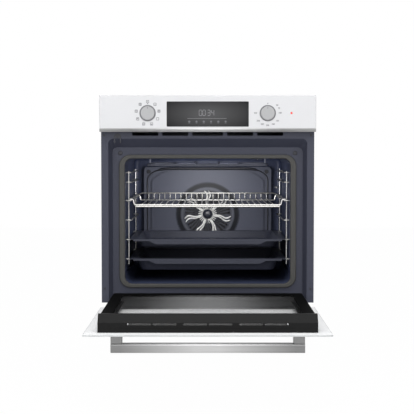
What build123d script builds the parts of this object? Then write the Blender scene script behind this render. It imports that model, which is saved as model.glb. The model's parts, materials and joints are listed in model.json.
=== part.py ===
from build123d import *
import math
import os

# Built-in wall oven, millimetres, shown with its door folded down.
# X runs across the oven, -Y is its front, Z is up. The origin is the centre of the base face.

# Overall front and housing
FRONT_W = 594.0
FRONT_H = 595.0
PANEL_H = 100.0
TRIM_H = 9.0
HOUSING_W = 556.0
HOUSING_DROP = 19.0
HOUSING_H = FRONT_H - HOUSING_DROP
BASE_D = 510.0
BASE_SETBACK = 30.0
SHEET = 1.5
CASE_SHEET = 1.0
SEAT_GAP = 0.3
SLIDE_GAP = 0.5

# Depth planes, all counted back from the face of the control panel
FACE_Y = -(BASE_D / 2 + BASE_SETBACK)
PANEL_D = 25.0
RECESS_D = 28.0
FLANGE_Y = FACE_Y + PANEL_D
PLATE_Y = FLANGE_Y + RECESS_D
PLATE_BACK_Y = PLATE_Y + SHEET
BACK_Y = BASE_D / 2

# Front frame
FLANGE_SHORT = 5.0
FLANGE_W = FRONT_W - FLANGE_SHORT
FLANGE_OVERLAP = 3.1
FLANGE_STRIP = (FLANGE_W - HOUSING_W) / 2 + FLANGE_OVERLAP
FLANGE_FOOT_Z = 21.0
RECESS_TAPER = 9.5
BAND_H = 8.0
BAND_GAP = 10.5
BAND_TOP_Z = FRONT_H - PANEL_H - BAND_GAP
SLANT_H = 24.0
RECESS_CORNER_R = 14.0
VENT_H = 10.0
VENT_W = 72.0
VENT_MID_W = 85.0
VENT_BRIDGE = 11.0
CABINET_SCREW_D = 5.0
CABINET_SCREW_INSET = 8.5
CABINET_SCREW_LOW_Z = 60.0
CABINET_SCREW_DROP = 9.0
CABINET_SCREW_HIGH_Z = FRONT_H - PANEL_H - CABINET_SCREW_DROP
PANEL_TOP_Z = FRONT_H
PANEL_LOW_Z = FRONT_H - PANEL_H
FRAME_TOP_GAP = 2.0
FRAME_TOP_Z = HOUSING_H - FRAME_TOP_GAP

# Cavity
CAV_W = 462.0
CAV_H = 350.0
REAR_SPACE = 104.0
CAV_D = BASE_D - REAR_SPACE
CAV_Z = 246.0
CAV_R = 20.0
CAV_BACK_R = 14.0
LINER_T = 1.2
LINER_FLANGE = 14.0
CAV_FLOOR_Z = CAV_Z - CAV_H / 2
CAV_TOP_Z = CAV_Z + CAV_H / 2
LINER_FRONT_Y = PLATE_BACK_Y
CAV_BACK_Y = LINER_FRONT_Y + CAV_D
LINER_BACK_Y = CAV_BACK_Y + LINER_T
GASKET_SIDE = 16.0
GASKET_EDGE = 11.0
GASKET_T = 7.2
GASKET_ROUND = 3.0

# Fan cover on the cavity's back wall
FAN_Z = 244.6
COVER_W = 398.0
COVER_LOW_Z = 96.0
COVER_TOP_Z = 392.0
COVER_D = 22.0
COVER_RAISE = 6.0
COVER_T = 1.2
COVER_R = 12.0
SHOULDER_W = 350.0
SHOULDER_FLAT = 230.0
SHOULDER_DROP = 34.0
SHOULDER_MARGIN = 10.0
GRILLE_R = 76.5
GRILLE_T = 6.0
GROOVE_IN_R = 82.5
GROOVE_OUT_R = 98.0
GROOVE_D = 4.5
HUB_R = 13.5
HUB_D = 3.0
BLADE_GROUPS = 7
SLOTS_PER_GROUP = 4
SLOT_SWEEP = 16.0
SLOT_BOW = 7.0
COVER_SCREW_X = 184.0
COVER_SCREW_Z = 377.0
COVER_SCREW_LOW_Z = 111.0
COVER_SCREW_R = 4.0

# Convection fan, its motor and the heaters
SHAFT_R = 4.0
RUN_GAP = 0.05
IMPELLER_R = 70.0
IMPELLER_IN_R = 42.0
IMPELLER_BLADES = 10
IMPELLER_BLADE_H = 13.0
IMPELLER_T = 1.2
IMPELLER_WALL_GAP = 4.0
TUBE_R = 3.25
RING_R = 88.0
MOTOR_R = 32.0
MOTOR_L = 44.0
MOTOR_STANDOFF = 14.0
TERMINAL_SPREAD = 12.0

# Racks, shelf and trays
RACK_WIRE_R = 2.2
RACK_X = 216.6
RACK_POST_X = 224.6
RACK_FRONT = 55.0
RACK_LEN = 318.0
LEVEL_LOW_Z = 134.5
LEVEL_STEP = 55.5
LEVELS = 5
RACK_TOP_Z = 381.0
SHELF_LEVEL = 4
TRAY_LEVEL = 2
DEEP_LEVEL = 1
SHELF_WIRE_R = 2.6
CROSS_WIRE_R = 1.5
SHELF_DROP = 15.5
SHELF_W = 412.0
CROSS_WIRES = 23
BACKSTOP_H = 20.0
LOAD_FRONT = 23.0
LOAD_SPACE = 56.0
LOAD_LEN = CAV_D - LOAD_SPACE
TRAY_W = 443.0
TRAY_RIM = 20.0
TRAY_T = 1.4
TRAY_DEPTH = 24.0
DEEP_DEPTH = 35.0
TRAY_DRAFT = 12.0
TRAY_R = 22.0
LIP_H = 13.0
LIP_SHORT = 44.0
LIP_SLOPE = 19.0

# Door, drawn folded down; its hinge axis lies across the oven
GLASS_T = 4.0
DOOR_FACE_Z = 5.0
DOOR_REACH = 460.0
DOOR_TAIL = 25.5
HINGE_OFF_Y = 13.25
HINGE_Z = 18.25
DOOR_STACK = 45.5
OVERHANG_TOP = 33.5
INNER_W = 519.0
PROFILE_W = 528.0
RAIL_W = 22.0
RAIL_T = 2.0
PANE_LEDGE = 9.0
MID_PANE_DROP = 14.5
LIP_PROUD = 2.1
SLANT_START = 24.0
SLANT_RUN = 15.5
TOP_LIP = 10.0
PROFILE_SLOT_W = 57.0
PROFILE_SLOT_H = 5.0
HINGE_Y = FACE_Y + HINGE_OFF_Y
GLASS_TOP_Z = DOOR_FACE_Z + GLASS_T
PANE_TOP_Z = DOOR_FACE_Z + DOOR_STACK
PANE_LOW_Z = PANE_TOP_Z - GLASS_T
DOOR_FRONT_Y = FACE_Y - DOOR_REACH
PROFILE_Y = DOOR_FRONT_Y + OVERHANG_TOP
PANE_REAR_Y = FACE_Y
PANE_FRONT_Y = PROFILE_Y + SLANT_RUN + 2.5
RAIL_REAR_Y = FACE_Y - 4.0
RAIL_FRONT_Y = PROFILE_Y + SLANT_RUN - 0.5

# Hinges
PIN_R = 4.0
ARM_T = 8.0
ARM_H = 14.0
ARM_LEN = 112.0
CHANNEL_T = 1.5
CHANNEL_L = 200.0
NOSE_R = 9.0
SPRING_R = 7.0
SPRING_BORE = 4.0
SPRING_L = 140.0

# Handle
HANDLE_L = 463.0
HANDLE_T = 23.0
HANDLE_DEPTH = 22.0
HANDLE_GAP = 19.0
HANDLE_SETBACK = 15.0
POST_W = 27.6
POST_DEPTH = 33.0
HANDLE_SCREW_R = 2.5
HANDLE_SCREW_HEAD_R = 4.0
HANDLE_SCREW_HEAD_H = 3.0

# Controls
WINDOW_W = 225.0
WINDOW_H = 69.0
WINDOW_DROP = 51.5
WINDOW_Z = FRONT_H - WINDOW_DROP
WINDOW_T = 3.0
FASCIA_T = 2.0
KNOB_X = 164.5
KNOB_DROP = 49.0
KNOB_Z = FRONT_H - KNOB_DROP
KNOB_R = 19.0
KNOB_PROUD = 3.0
KNOB_L = 21.0
RING_OUT_R = 22.2
RING_PROUD = 2.0
RING_SLEEVE_L = 14.0
RING_WALL = 1.6
SPINDLE_R = 3.0
SPINDLE_TIP = 0.5
SWITCH_W = 44.0
SWITCH_L = 34.0
LED_X = 229.5
LED_R = 2.6
CARRIER_T = 2.5
BOARD_T = 1.6

# Housing services
WOOL_T = 24.0
BLOWER_W = 300.0
BLOWER_R = 26.0
BLOWER_BLADES = 16
BLOWER_Z = 508.0
BLOWER_SETBACK = 96.0
LAMP_X = 150.0
LAMP_R = 21.0
LAMP_SETBACK = 110.0
PIPE_R = 11.0
GLAND_R = 6.0
TERMINAL_W = 70.0


def front_plane(y):
    """A drawing plane seen from the front, with X across and Z up."""
    return Plane.XZ.offset(-y)


def panel(outline, y_front, thick):
    """A flat piece drawn from the front, from y_front back by its thickness."""
    return extrude(front_plane(y_front + thick) * outline, thick)


def bar(outline, x_low, x_high):
    """A section drawn in Y and Z, run across the oven."""
    return extrude(Plane.YZ.offset(x_low) * outline, x_high - x_low)


def slab(x_low, x_high, y_low, y_high, z_low, z_high):
    """A rectangular solid between two corners."""
    middle = Pos((x_low + x_high) / 2, (y_low + y_high) / 2, (z_low + z_high) / 2)
    return middle * Box(x_high - x_low, y_high - y_low, z_high - z_low)


def polygon(*points):
    """A flat face through a few corner points."""
    return make_face(Polyline(*points, close=True))


def rounded(width, height, radius, x=0.0, z=0.0):
    """A rounded rectangle centred on a point of its plane."""
    return Pos(x, z) * RectangleRounded(width, height, radius)


def rod(start, end, radius):
    """A straight round rod between two points."""
    start = Vector(*start)
    run = Vector(*end) - start
    return Solid.make_cylinder(radius, run.length, Plane(origin=start, z_dir=run))


def bent_rod(points, bend, radius):
    """A round rod along straight runs joined by tangent arcs."""
    path = FilletPolyline(*points, radius=bend)
    section = Plane(origin=path @ 0, z_dir=path % 0) * Circle(radius)
    return sweep(section, path=path)


def tube_y(y_low, y_high, x, z, radius, bore=0.0):
    """A round piece along Y, with an optional bore."""
    outline = Pos(x, z) * Circle(radius)
    if bore > 0:
        outline -= Pos(x, z) * Circle(bore)
    return extrude(front_plane(y_high) * outline, y_high - y_low)


def both_sides(shape):
    """A piece and its mirror image across the oven's middle."""
    return [shape, mirror(shape, about=Plane.YZ)]


def write(name, *solids):
    """Writes one named piece, or a group of separate solids that share its name."""
    shape = solids[0] if len(solids) == 1 else Compound(children=list(solids))
    shape.label = name
    export_step(shape, f"parts/{name}.step")


os.makedirs("parts", exist_ok=True)

# Housing: base, sides, top and back
half_w = HOUSING_W / 2
base_front_y = -BASE_D / 2
base = slab(-half_w, half_w, base_front_y, BACK_Y, 0, SHEET)
for row in range(6):
    slot_y = base_front_y + BASE_D * (row + 1) / 7
    base -= Pos(0, slot_y, SHEET / 2) * extrude(SlotOverall(BASE_D / 3, 10), SHEET, both=True)
write("base_plate", base)

side_front_y = FLANGE_Y + SHEET
side_inner_x = half_w - CASE_SHEET
side_outline = polygon(
    (side_front_y, SHEET),
    (BACK_Y, SHEET),
    (BACK_Y, HOUSING_H - CASE_SHEET),
    (side_front_y, HOUSING_H - CASE_SHEET),
)
right_side = bar(side_outline, side_inner_x, half_w)
for step in range(6):
    louvre_y = BACK_Y - 70 - 24 * step
    louvre = Pos(louvre_y, HOUSING_H - 60) * Rot(0, 0, 90) * SlotOverall(50, 7)
    right_side -= bar(louvre, side_inner_x - 1, half_w + 1)
left_side = mirror(right_side, about=Plane.YZ)
write("side_panels", right_side, left_side)

top_y = side_front_y
top = slab(-half_w, half_w, top_y, BACK_Y, HOUSING_H - CASE_SHEET, HOUSING_H)
for step in range(8):
    slot_x = (step - 3.5) * 44
    opening = Pos(slot_x, BACK_Y - 80, HOUSING_H) * Rot(0, 0, 90) * SlotOverall(90, 9)
    top -= extrude(opening, 2 * CASE_SHEET, both=True)
write("top_cover", top)

back_outline = rounded(HOUSING_W, HOUSING_H, 6, 0, HOUSING_H / 2)
back = panel(back_outline, BACK_Y, CASE_SHEET)
dome_low = Pos(0, FAN_Z) * Circle(120)
dome_high = Pos(0, FAN_Z) * Circle(96)
DOME_D = 14.0
back_out = loft([front_plane(BACK_Y + CASE_SHEET) * dome_low, front_plane(BACK_Y + DOME_D) * dome_high])
dome_in_low = Pos(0, FAN_Z) * Circle(120 - CASE_SHEET)
dome_in_high = Pos(0, FAN_Z) * Circle(96 - CASE_SHEET)
back_in = loft([front_plane(BACK_Y) * dome_in_low, front_plane(BACK_Y + DOME_D - CASE_SHEET) * dome_in_high])
back = back + back_out - back_in
for step in range(9):
    turn = 360 / 9 * step
    louvre = Pos(0, FAN_Z) * Rot(0, 0, turn) * Pos(0, 64) * Rot(0, 0, 90) * SlotOverall(36, 9)
    back -= panel(louvre, BACK_Y - 1, DOME_D + 2)
TERMINAL_X = 190.0
TERMINAL_Z = 470.0
terminal_hole = rounded(TERMINAL_W - 8, TERMINAL_W - 8, 4, TERMINAL_X, TERMINAL_Z)
back -= panel(terminal_hole, BACK_Y - 1, CASE_SHEET + 2)
write("back_cover", back)

# Enamelled front frame: outer flange, tapered recess and the plate round the cavity
recess_top_z = BAND_TOP_Z - BAND_H
recess_low_z = SHEET - 60
mouth_w = FLANGE_W - 2 * FLANGE_STRIP
floor_w = mouth_w - 2 * RECESS_TAPER
mouth_h = recess_top_z - recess_low_z
floor_h = mouth_h - SLANT_H


def recess_block(grow, front_y, back_y):
    """The recess as a tapered block, grown all round by a wall."""
    mouth_z = recess_low_z + (mouth_h + grow) / 2
    mouth = rounded(mouth_w + 2 * grow, mouth_h + grow, RECESS_CORNER_R, 0, mouth_z)
    floor_z = recess_low_z + (floor_h + grow) / 2
    floor = rounded(floor_w + 2 * grow, floor_h + grow, RECESS_CORNER_R, 0, floor_z)
    return loft([front_plane(front_y) * mouth, front_plane(back_y) * floor])


flange_h = FRAME_TOP_Z - FLANGE_FOOT_Z
flange = panel(Pos(0, FLANGE_FOOT_Z + flange_h / 2) * Rectangle(FLANGE_W, flange_h), FLANGE_Y, SHEET)
tub_out = recess_block(SHEET, FLANGE_Y, PLATE_BACK_Y)
tub_in = recess_block(0, FLANGE_Y, PLATE_Y)
tub_foot = slab(-FRONT_W, FRONT_W, FLANGE_Y - 1, PLATE_Y, recess_low_z - 1, FLANGE_FOOT_Z)
plate_foot = slab(-FRONT_W, FRONT_W, FLANGE_Y - 1, BACK_Y, recess_low_z - 1, SHEET)
frame = flange + tub_out - tub_in - tub_foot - plate_foot
frame -= panel(rounded(CAV_W, CAV_H, CAV_R, 0, CAV_Z), PLATE_Y - 1, SHEET + 2)
vent_z = BAND_TOP_Z + VENT_H / 2
vents = [(0, VENT_MID_W)]
vent_step = VENT_MID_W / 2 + VENT_BRIDGE + VENT_W / 2
for side in (-1, 1):
    for place in range(2):
        vents.append((side * (vent_step + place * (VENT_W + VENT_BRIDGE)), VENT_W))
for vent_x, vent_width in vents:
    frame -= panel(rounded(vent_width, VENT_H, 3, vent_x, vent_z), FLANGE_Y - 1, SHEET + 2)
CUTOUT_W = SWITCH_W + 8
for knob_x in (-KNOB_X, KNOB_X):
    frame -= panel(rounded(CUTOUT_W, CUTOUT_W, 5, knob_x, KNOB_Z), FLANGE_Y - 1, SHEET + 2)
screw_x = FLANGE_W / 2 - CABINET_SCREW_INSET
for hole_x in (-screw_x, screw_x):
    for hole_z in (CABINET_SCREW_LOW_Z, CABINET_SCREW_HIGH_Z):
        frame -= tube_y(FLANGE_Y - 1, FLANGE_Y + SHEET + 1, hole_x, hole_z, CABINET_SCREW_D / 2)
rail_x = PROFILE_W / 2 - 2 - RAIL_W / 2
ARM_SLOT_GAP = 2.0
for hinge_x in (-rail_x, rail_x):
    arm_slot = Pos(hinge_x, HINGE_Z) * Rectangle(ARM_T + 2 * ARM_SLOT_GAP, ARM_H + 2 * ARM_SLOT_GAP)
    frame -= panel(arm_slot, PLATE_Y - 1, SHEET + 2)
BUTTON_X = 243.5
BUTTON_Z = 436.5
BUTTON_R = 5.5
BUTTON_SHANK_R = 2.2
for button_x in (-BUTTON_X, BUTTON_X):
    frame -= tube_y(PLATE_Y - 1, PLATE_BACK_Y + 1, button_x, BUTTON_Z, BUTTON_SHANK_R)
TAB_W = 19.0
TAB_H = 17.0
TAB_T = 1.5
TAB_X = -249.0
TAB_PIN_R = 2.0
tab_z = BAND_TOP_Z - 3
frame -= tube_y(FLANGE_Y - 1, FLANGE_Y + SHEET + 1, TAB_X, tab_z, TAB_PIN_R)
write("front_frame", frame)

buttons = []
for button_x in (-BUTTON_X, BUTTON_X):
    head = tube_y(PLATE_Y - 2, PLATE_Y, button_x, BUTTON_Z, BUTTON_R)
    head = fillet(head.edges().group_by(Axis.Y)[0], 1.2)
    buttons.append(head + tube_y(PLATE_Y, PLATE_BACK_Y + 4, button_x, BUTTON_Z, BUTTON_SHANK_R - RUN_GAP))
write("frame_screws", *buttons)

# Arch-shaped catch of the door switch, clipped to the frame's top corner
tab_face = Pos(TAB_X, tab_z - TAB_H / 2) * Rectangle(TAB_W, TAB_H) + Pos(TAB_X, tab_z) * Circle(TAB_W / 2)
TAB_RIM = 3.0
tab_hollow = Pos(TAB_X, tab_z - TAB_H / 2 - TAB_RIM) * Rectangle(TAB_W - 2 * TAB_RIM, TAB_H)
tab_hollow += Pos(TAB_X, tab_z - TAB_RIM) * Circle(TAB_W / 2 - TAB_RIM)
tab = panel(tab_face - tab_hollow, FLANGE_Y - TAB_T, TAB_T)
tab += panel(Pos(TAB_X, tab_z) * Circle(TAB_PIN_R + 2.4), FLANGE_Y - TAB_T, TAB_T)
tab += tube_y(FLANGE_Y - TAB_T, FLANGE_Y + SHEET + 4, TAB_X, tab_z, TAB_PIN_R - RUN_GAP)
write("door_switch_tab", tab)

# Cavity liner: a deep-drawn box with a rounded back and a front flange
def cavity_block(grow, front_y, back_y):
    """The cavity as a block with a rounded back edge, grown by a wall."""
    outline = rounded(CAV_W + 2 * grow, CAV_H + 2 * grow, CAV_R + grow, 0, CAV_Z)
    block = panel(outline, front_y, back_y - front_y)
    return fillet(block.faces().sort_by(Axis.Y)[-1].edges(), CAV_BACK_R + grow)


liner = cavity_block(LINER_T, LINER_FRONT_Y, LINER_BACK_Y)
liner_rim_w = CAV_W + 2 * LINER_FLANGE
liner_rim_h = CAV_H + 2 * LINER_FLANGE
liner += panel(rounded(liner_rim_w, liner_rim_h, CAV_R + LINER_FLANGE, 0, CAV_Z), LINER_FRONT_Y, LINER_T)
BEAD_R = 5.0
BEAD_L = 330.0
BEAD_STEP = 17.0
bead_y = LINER_FRONT_Y + CAV_D / 2


def wall_beads(radius):
    """Long pressed beads low on both side walls, seen as rounded ridges outside."""
    beads = []
    for place in range(2):
        bead_z = CAV_FLOOR_Z + CAV_R + 8 + BEAD_STEP * place
        for bead_x in (-CAV_W / 2, CAV_W / 2):
            start = (bead_x, bead_y - BEAD_L / 2, bead_z)
            end = (bead_x, bead_y + BEAD_L / 2, bead_z)
            beads.append(rod(start, end, radius))
    return beads


liner += wall_beads(BEAD_R)
liner -= cavity_block(0, LINER_FRONT_Y, CAV_BACK_Y)
liner -= wall_beads(BEAD_R - LINER_T)
liner -= tube_y(CAV_BACK_Y - 1, LINER_BACK_Y + 1, 0, FAN_Z, 2 * SHAFT_R)
GRILL_Z = CAV_TOP_Z - 18
ring_leg_z = FAN_Z + math.sqrt(RING_R**2 - TERMINAL_SPREAD**2)
heater_holes = []
for side in (-1, 1):
    heater_holes.append((side * TERMINAL_SPREAD, ring_leg_z))
    heater_holes.append((side * 3 * TERMINAL_SPREAD, GRILL_Z))
for hole_x, hole_z in heater_holes:
    liner -= tube_y(CAV_BACK_Y - 1, LINER_BACK_Y + 1, hole_x, hole_z, TUBE_R + SLIDE_GAP)
lamp_y = CAV_BACK_Y - LAMP_SETBACK
pipe_y = CAV_BACK_Y - 60
ceiling_z = CAV_TOP_Z + LINER_T
liner -= Pos(LAMP_X, lamp_y, CAV_TOP_Z) * Cylinder(LAMP_R + SLIDE_GAP, 20)
liner -= Pos(-LAMP_X, pipe_y, CAV_TOP_Z) * Cylinder(PIPE_R, 20)
PROBE_Z = 328.0
PROBE_X = 214.0
PROBE_R = 2.5
liner -= tube_y(CAV_BACK_Y - 20, LINER_BACK_Y + 20, PROBE_X, PROBE_Z, PROBE_R + SLIDE_GAP)
write("cavity_liner", liner)

# Rubber gasket round the cavity's mouth
gasket_out = rounded(CAV_W + 2 * GASKET_SIDE, CAV_H + 2 * GASKET_EDGE, CAV_R + GASKET_SIDE - 4, 0, CAV_Z)
gasket = panel(gasket_out, PLATE_Y - GASKET_T, GASKET_T)
gasket -= panel(rounded(CAV_W, CAV_H, CAV_R, 0, CAV_Z), PLATE_Y - GASKET_T - 1, GASKET_T + 2)
gasket = fillet(gasket.faces().sort_by(Axis.Y)[0].edges(), GASKET_ROUND)
write("door_gasket", gasket)

# Fan cover: a shallow pressed tray with arched shoulders and a swirl grille
cover_front_y = CAV_BACK_Y - COVER_D
raise_y = cover_front_y - COVER_RAISE
cover_h = COVER_TOP_Z - COVER_LOW_Z
cover_z = (COVER_TOP_Z + COVER_LOW_Z) / 2


def shoulder_face(shrink):
    """The raised middle of the fan cover, flat-topped with two arched shoulders."""
    half = SHOULDER_W / 2 - shrink
    flat = SHOULDER_FLAT / 2
    top = COVER_TOP_Z - SHOULDER_MARGIN - shrink
    low = COVER_LOW_Z + SHOULDER_MARGIN + shrink
    fall = top - SHOULDER_DROP
    rise = low + SHOULDER_DROP
    bow = 0.16 * SHOULDER_DROP
    middle_x = (half + flat) / 2
    edges = [
        Line((-flat, top), (flat, top)),
        ThreePointArc((flat, top), (middle_x, (top + fall) / 2 + bow), (half, fall)),
        Line((half, fall), (half, rise)),
        ThreePointArc((half, rise), (middle_x, (low + rise) / 2 - bow), (flat, low)),
        Line((flat, low), (-flat, low)),
        ThreePointArc((-flat, low), (-middle_x, (low + rise) / 2 - bow), (-half, rise)),
        Line((-half, rise), (-half, fall)),
        ThreePointArc((-half, fall), (-middle_x, (top + fall) / 2 + bow), (-flat, top)),
    ]
    return make_face(edges)


def cover_block(shrink):
    """The fan cover as a closed block, shrunk all round by its sheet."""
    outline = rounded(COVER_W - 2 * shrink, cover_h - 2 * shrink, COVER_R, 0, cover_z)
    block = panel(outline, cover_front_y + shrink, COVER_D)
    return block + panel(shoulder_face(shrink), raise_y + shrink, COVER_RAISE + 2 * COVER_T)


def swirl_slot(turn, width, in_r, out_r):
    """A curved band from the hub outwards, as wide as a few degrees."""
    def at(radius, angle):
        return (radius * math.cos(math.radians(angle)), FAN_Z + radius * math.sin(math.radians(angle)))
    mid_r = (in_r + out_r) / 2
    mid_turn = turn + SLOT_SWEEP / 2 + SLOT_BOW
    edges = [
        ThreePointArc(at(in_r, turn), at(mid_r, mid_turn), at(out_r, turn + SLOT_SWEEP)),
        Line(at(out_r, turn + SLOT_SWEEP), at(out_r, turn + SLOT_SWEEP + width)),
        ThreePointArc(
            at(out_r, turn + SLOT_SWEEP + width), at(mid_r, mid_turn + width), at(in_r, turn + width)
        ),
        Line(at(in_r, turn + width), at(in_r, turn)),
    ]
    return make_face(edges)


cover = cover_block(0)
cover_skirt = slab(-COVER_W, COVER_W, CAV_BACK_Y, BACK_Y, 0, FRONT_H)
cover = cover - cover_skirt - (cover_block(COVER_T))
grille_disc = Pos(0, FAN_Z) * Circle(GROOVE_OUT_R + 3)
cover += panel(grille_disc, raise_y, GRILLE_T)
groove = Pos(0, FAN_Z) * (Circle(GROOVE_OUT_R) - Circle(GROOVE_IN_R))
cover -= panel(groove, raise_y - 1, GROOVE_D + 1)
cover -= panel(Pos(0, FAN_Z) * Circle(GRILLE_R), raise_y - 1, 3)
group_turn = 360 / BLADE_GROUPS
slot_turn = group_turn / (SLOTS_PER_GROUP + 1.5)
slots = []
blades = []
for group in range(BLADE_GROUPS):
    lead = 90 - SLOT_SWEEP + group * group_turn
    for place in range(SLOTS_PER_GROUP):
        slots.append(swirl_slot(lead + (place + 1.4) * slot_turn, 0.62 * slot_turn, 2 * HUB_R, GRILLE_R - 5))
    for place in range(2):
        blade_turn = lead + place * 0.8 * slot_turn - 0.5 * slot_turn
        blades.append(swirl_slot(blade_turn, 0.5 * slot_turn, HUB_R + 6, GRILLE_R - 8))
grille_face_y = raise_y + 2
cover -= [panel(slot, grille_face_y - 1, GRILLE_T) for slot in slots]
cover += [panel(blade, grille_face_y - 1.4, 1.6) for blade in blades]
hub = tube_y(grille_face_y - HUB_D, grille_face_y + 1, 0, FAN_Z, HUB_R)
cover += fillet(hub.edges().group_by(Axis.Y)[0], 2.4)
cover_screws = []
for screw_z in (COVER_SCREW_Z, COVER_SCREW_LOW_Z):
    for side in (-1, 1):
        spot_x = side * COVER_SCREW_X
        screw_bore_r = COVER_SCREW_R / 2 + RUN_GAP
        cover -= tube_y(cover_front_y - 1, cover_front_y + COVER_T + 1, spot_x, screw_z, screw_bore_r)
        head = tube_y(cover_front_y - 2.4, cover_front_y, spot_x, screw_z, COVER_SCREW_R + 2.5)
        head = fillet(head.edges().group_by(Axis.Y)[0], 1.0)
        cover_screws.append(head + tube_y(cover_front_y, CAV_BACK_Y, spot_x, screw_z, COVER_SCREW_R / 2))
write("fan_cover", cover)
write("fan_cover_screws", *cover_screws)

# Convection fan: impeller, shaft and nut turn together in the motor's bearing
impeller_back_y = CAV_BACK_Y - IMPELLER_WALL_GAP
impeller_disc_y = impeller_back_y - IMPELLER_T
impeller_front_y = impeller_disc_y - IMPELLER_BLADE_H
NUT_R = 7.0
NUT_L = 6.0
HUB_WALL = 5.0
hub_front_y = impeller_disc_y - 5
impeller = tube_y(impeller_disc_y, impeller_back_y, 0, FAN_Z, IMPELLER_R, SHAFT_R)
impeller += tube_y(hub_front_y, impeller_back_y, 0, FAN_Z, SHAFT_R + HUB_WALL, SHAFT_R)
BLADE_LEAN = 28.0
for blade in range(IMPELLER_BLADES):
    turn = 360 / IMPELLER_BLADES * blade
    middle_r = (IMPELLER_R + IMPELLER_IN_R) / 2
    vane = Rot(0, 0, turn) * Pos(middle_r, 0) * Rot(0, 0, BLADE_LEAN)
    vane_face = Pos(0, FAN_Z) * vane * Rectangle(IMPELLER_R - IMPELLER_IN_R - 4, IMPELLER_T)
    impeller += panel(vane_face, impeller_front_y, IMPELLER_BLADE_H)
write("convection_impeller", impeller)
shaft_back_y = LINER_BACK_Y + MOTOR_STANDOFF + MOTOR_L - 6
shaft_front_y = hub_front_y - NUT_L
write("fan_shaft", tube_y(shaft_front_y, shaft_back_y, 0, FAN_Z, SHAFT_R))
nut_face = Pos(0, FAN_Z) * (RegularPolygon(NUT_R, 6) - Circle(SHAFT_R))
write("impeller_nut", panel(nut_face, shaft_front_y, NUT_L))

# Fan motor on a three-legged bracket behind the cavity
motor_front_y = LINER_BACK_Y + MOTOR_STANDOFF
motor = tube_y(motor_front_y, motor_front_y + MOTOR_L, 0, FAN_Z, MOTOR_R)
motor = fillet(motor.edges().group_by(Axis.Y)[-1], 5)
BRACKET_R = 52.0
bracket = panel(Pos(0, FAN_Z) * RegularPolygon(BRACKET_R + 12, 3), motor_front_y, 2)
motor += fillet(bracket.edges().filter_by(Axis.Y), 6)
for leg in range(3):
    turn = math.radians(120 * leg)
    leg_x = BRACKET_R * math.cos(turn)
    leg_z = FAN_Z + BRACKET_R * math.sin(turn)
    motor += tube_y(LINER_BACK_Y, motor_front_y, leg_x, leg_z, 4)
motor -= tube_y(motor_front_y - 1, shaft_back_y + 1, 0, FAN_Z, SHAFT_R + RUN_GAP)
for rib in range(12):
    turn = Rot(0, 0, 30 * rib + 15)
    notch = Pos(0, FAN_Z) * turn * Pos(MOTOR_R, 0) * Rectangle(5, 6)
    motor -= panel(notch, motor_front_y + 8, MOTOR_L - 16)
write("fan_motor", motor)

# Heating elements, bent from one diameter of sheathed tube
ring_y = (impeller_front_y + impeller_back_y) / 2
terminal_y = LINER_BACK_Y + 14
ring = Pos(0, ring_y, FAN_Z) * Rot(90, 0, 0) * Torus(RING_R, TUBE_R)
for side in (-1, 1):
    leg_x = side * TERMINAL_SPREAD
    ring += tube_y(ring_y, terminal_y, leg_x, ring_leg_z, TUBE_R - SLIDE_GAP)
ring += panel(rounded(4 * TERMINAL_SPREAD, 18, 4, 0, ring_leg_z), LINER_BACK_Y, 1.5)
write("ring_heater", ring)

GRILL_W = 340.0
GRILL_BEND = 24.0
grill_near_y = LINER_FRONT_Y + 60
grill_far_y = CAV_BACK_Y - 70
grill_half = GRILL_W / 2
grill_in = 3 * TERMINAL_SPREAD
grill_points = [
    (-grill_in, terminal_y, GRILL_Z),
    (-grill_in, grill_near_y + 90, GRILL_Z),
    (-grill_half / 2 - 10, grill_near_y + 90, GRILL_Z),
    (-grill_half / 2 - 10, grill_far_y, GRILL_Z),
    (-grill_half, grill_far_y, GRILL_Z),
    (-grill_half, grill_near_y, GRILL_Z),
    (grill_half, grill_near_y, GRILL_Z),
    (grill_half, grill_far_y, GRILL_Z),
    (grill_half / 2 + 10, grill_far_y, GRILL_Z),
    (grill_half / 2 + 10, grill_near_y + 90, GRILL_Z),
    (grill_in, grill_near_y + 90, GRILL_Z),
    (grill_in, terminal_y, GRILL_Z),
]
grill = bent_rod(grill_points, GRILL_BEND - 4, TUBE_R)
CLIP_W = 10.0
for side in (-1, 1):
    clip_x = side * grill_half
    clip_y = (grill_near_y + grill_far_y) / 2
    clip_top = GRILL_Z + TUBE_R - 0.5
    grill += slab(clip_x - 1.5, clip_x + 1.5, clip_y - CLIP_W, clip_y + CLIP_W, clip_top, CAV_TOP_Z)
write("grill_element", grill)

BOTTOM_Z = CAV_FLOOR_Z - LINER_T - TUBE_R - SEAT_GAP
bottom_half = 0.42 * CAV_W
bottom_near_y = LINER_FRONT_Y + 70
bottom_far_y = CAV_BACK_Y - 50
bottom_points = [
    (-grill_in, terminal_y, BOTTOM_Z),
    (-grill_in, bottom_far_y, BOTTOM_Z),
    (-bottom_half, bottom_far_y, BOTTOM_Z),
    (-bottom_half, bottom_near_y, BOTTOM_Z),
    (bottom_half, bottom_near_y, BOTTOM_Z),
    (bottom_half, bottom_far_y, BOTTOM_Z),
    (grill_in, bottom_far_y, BOTTOM_Z),
    (grill_in, terminal_y, BOTTOM_Z),
]
write("bottom_element", bent_rod(bottom_points, GRILL_BEND, TUBE_R))

# Side racks: level wires bent from posts that stand off the cavity walls
rack_front_y = LINER_FRONT_Y + RACK_FRONT
rack_back_y = rack_front_y + RACK_LEN
wall_x = CAV_W / 2
RACK_BEND = 5.0
RACK_FOOT_Z = LEVEL_LOW_Z - 14


def level_z(level):
    """Height of a level wire's centre line, counted from the lowest."""
    return LEVEL_LOW_Z + LEVEL_STEP * (level - 1)


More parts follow.
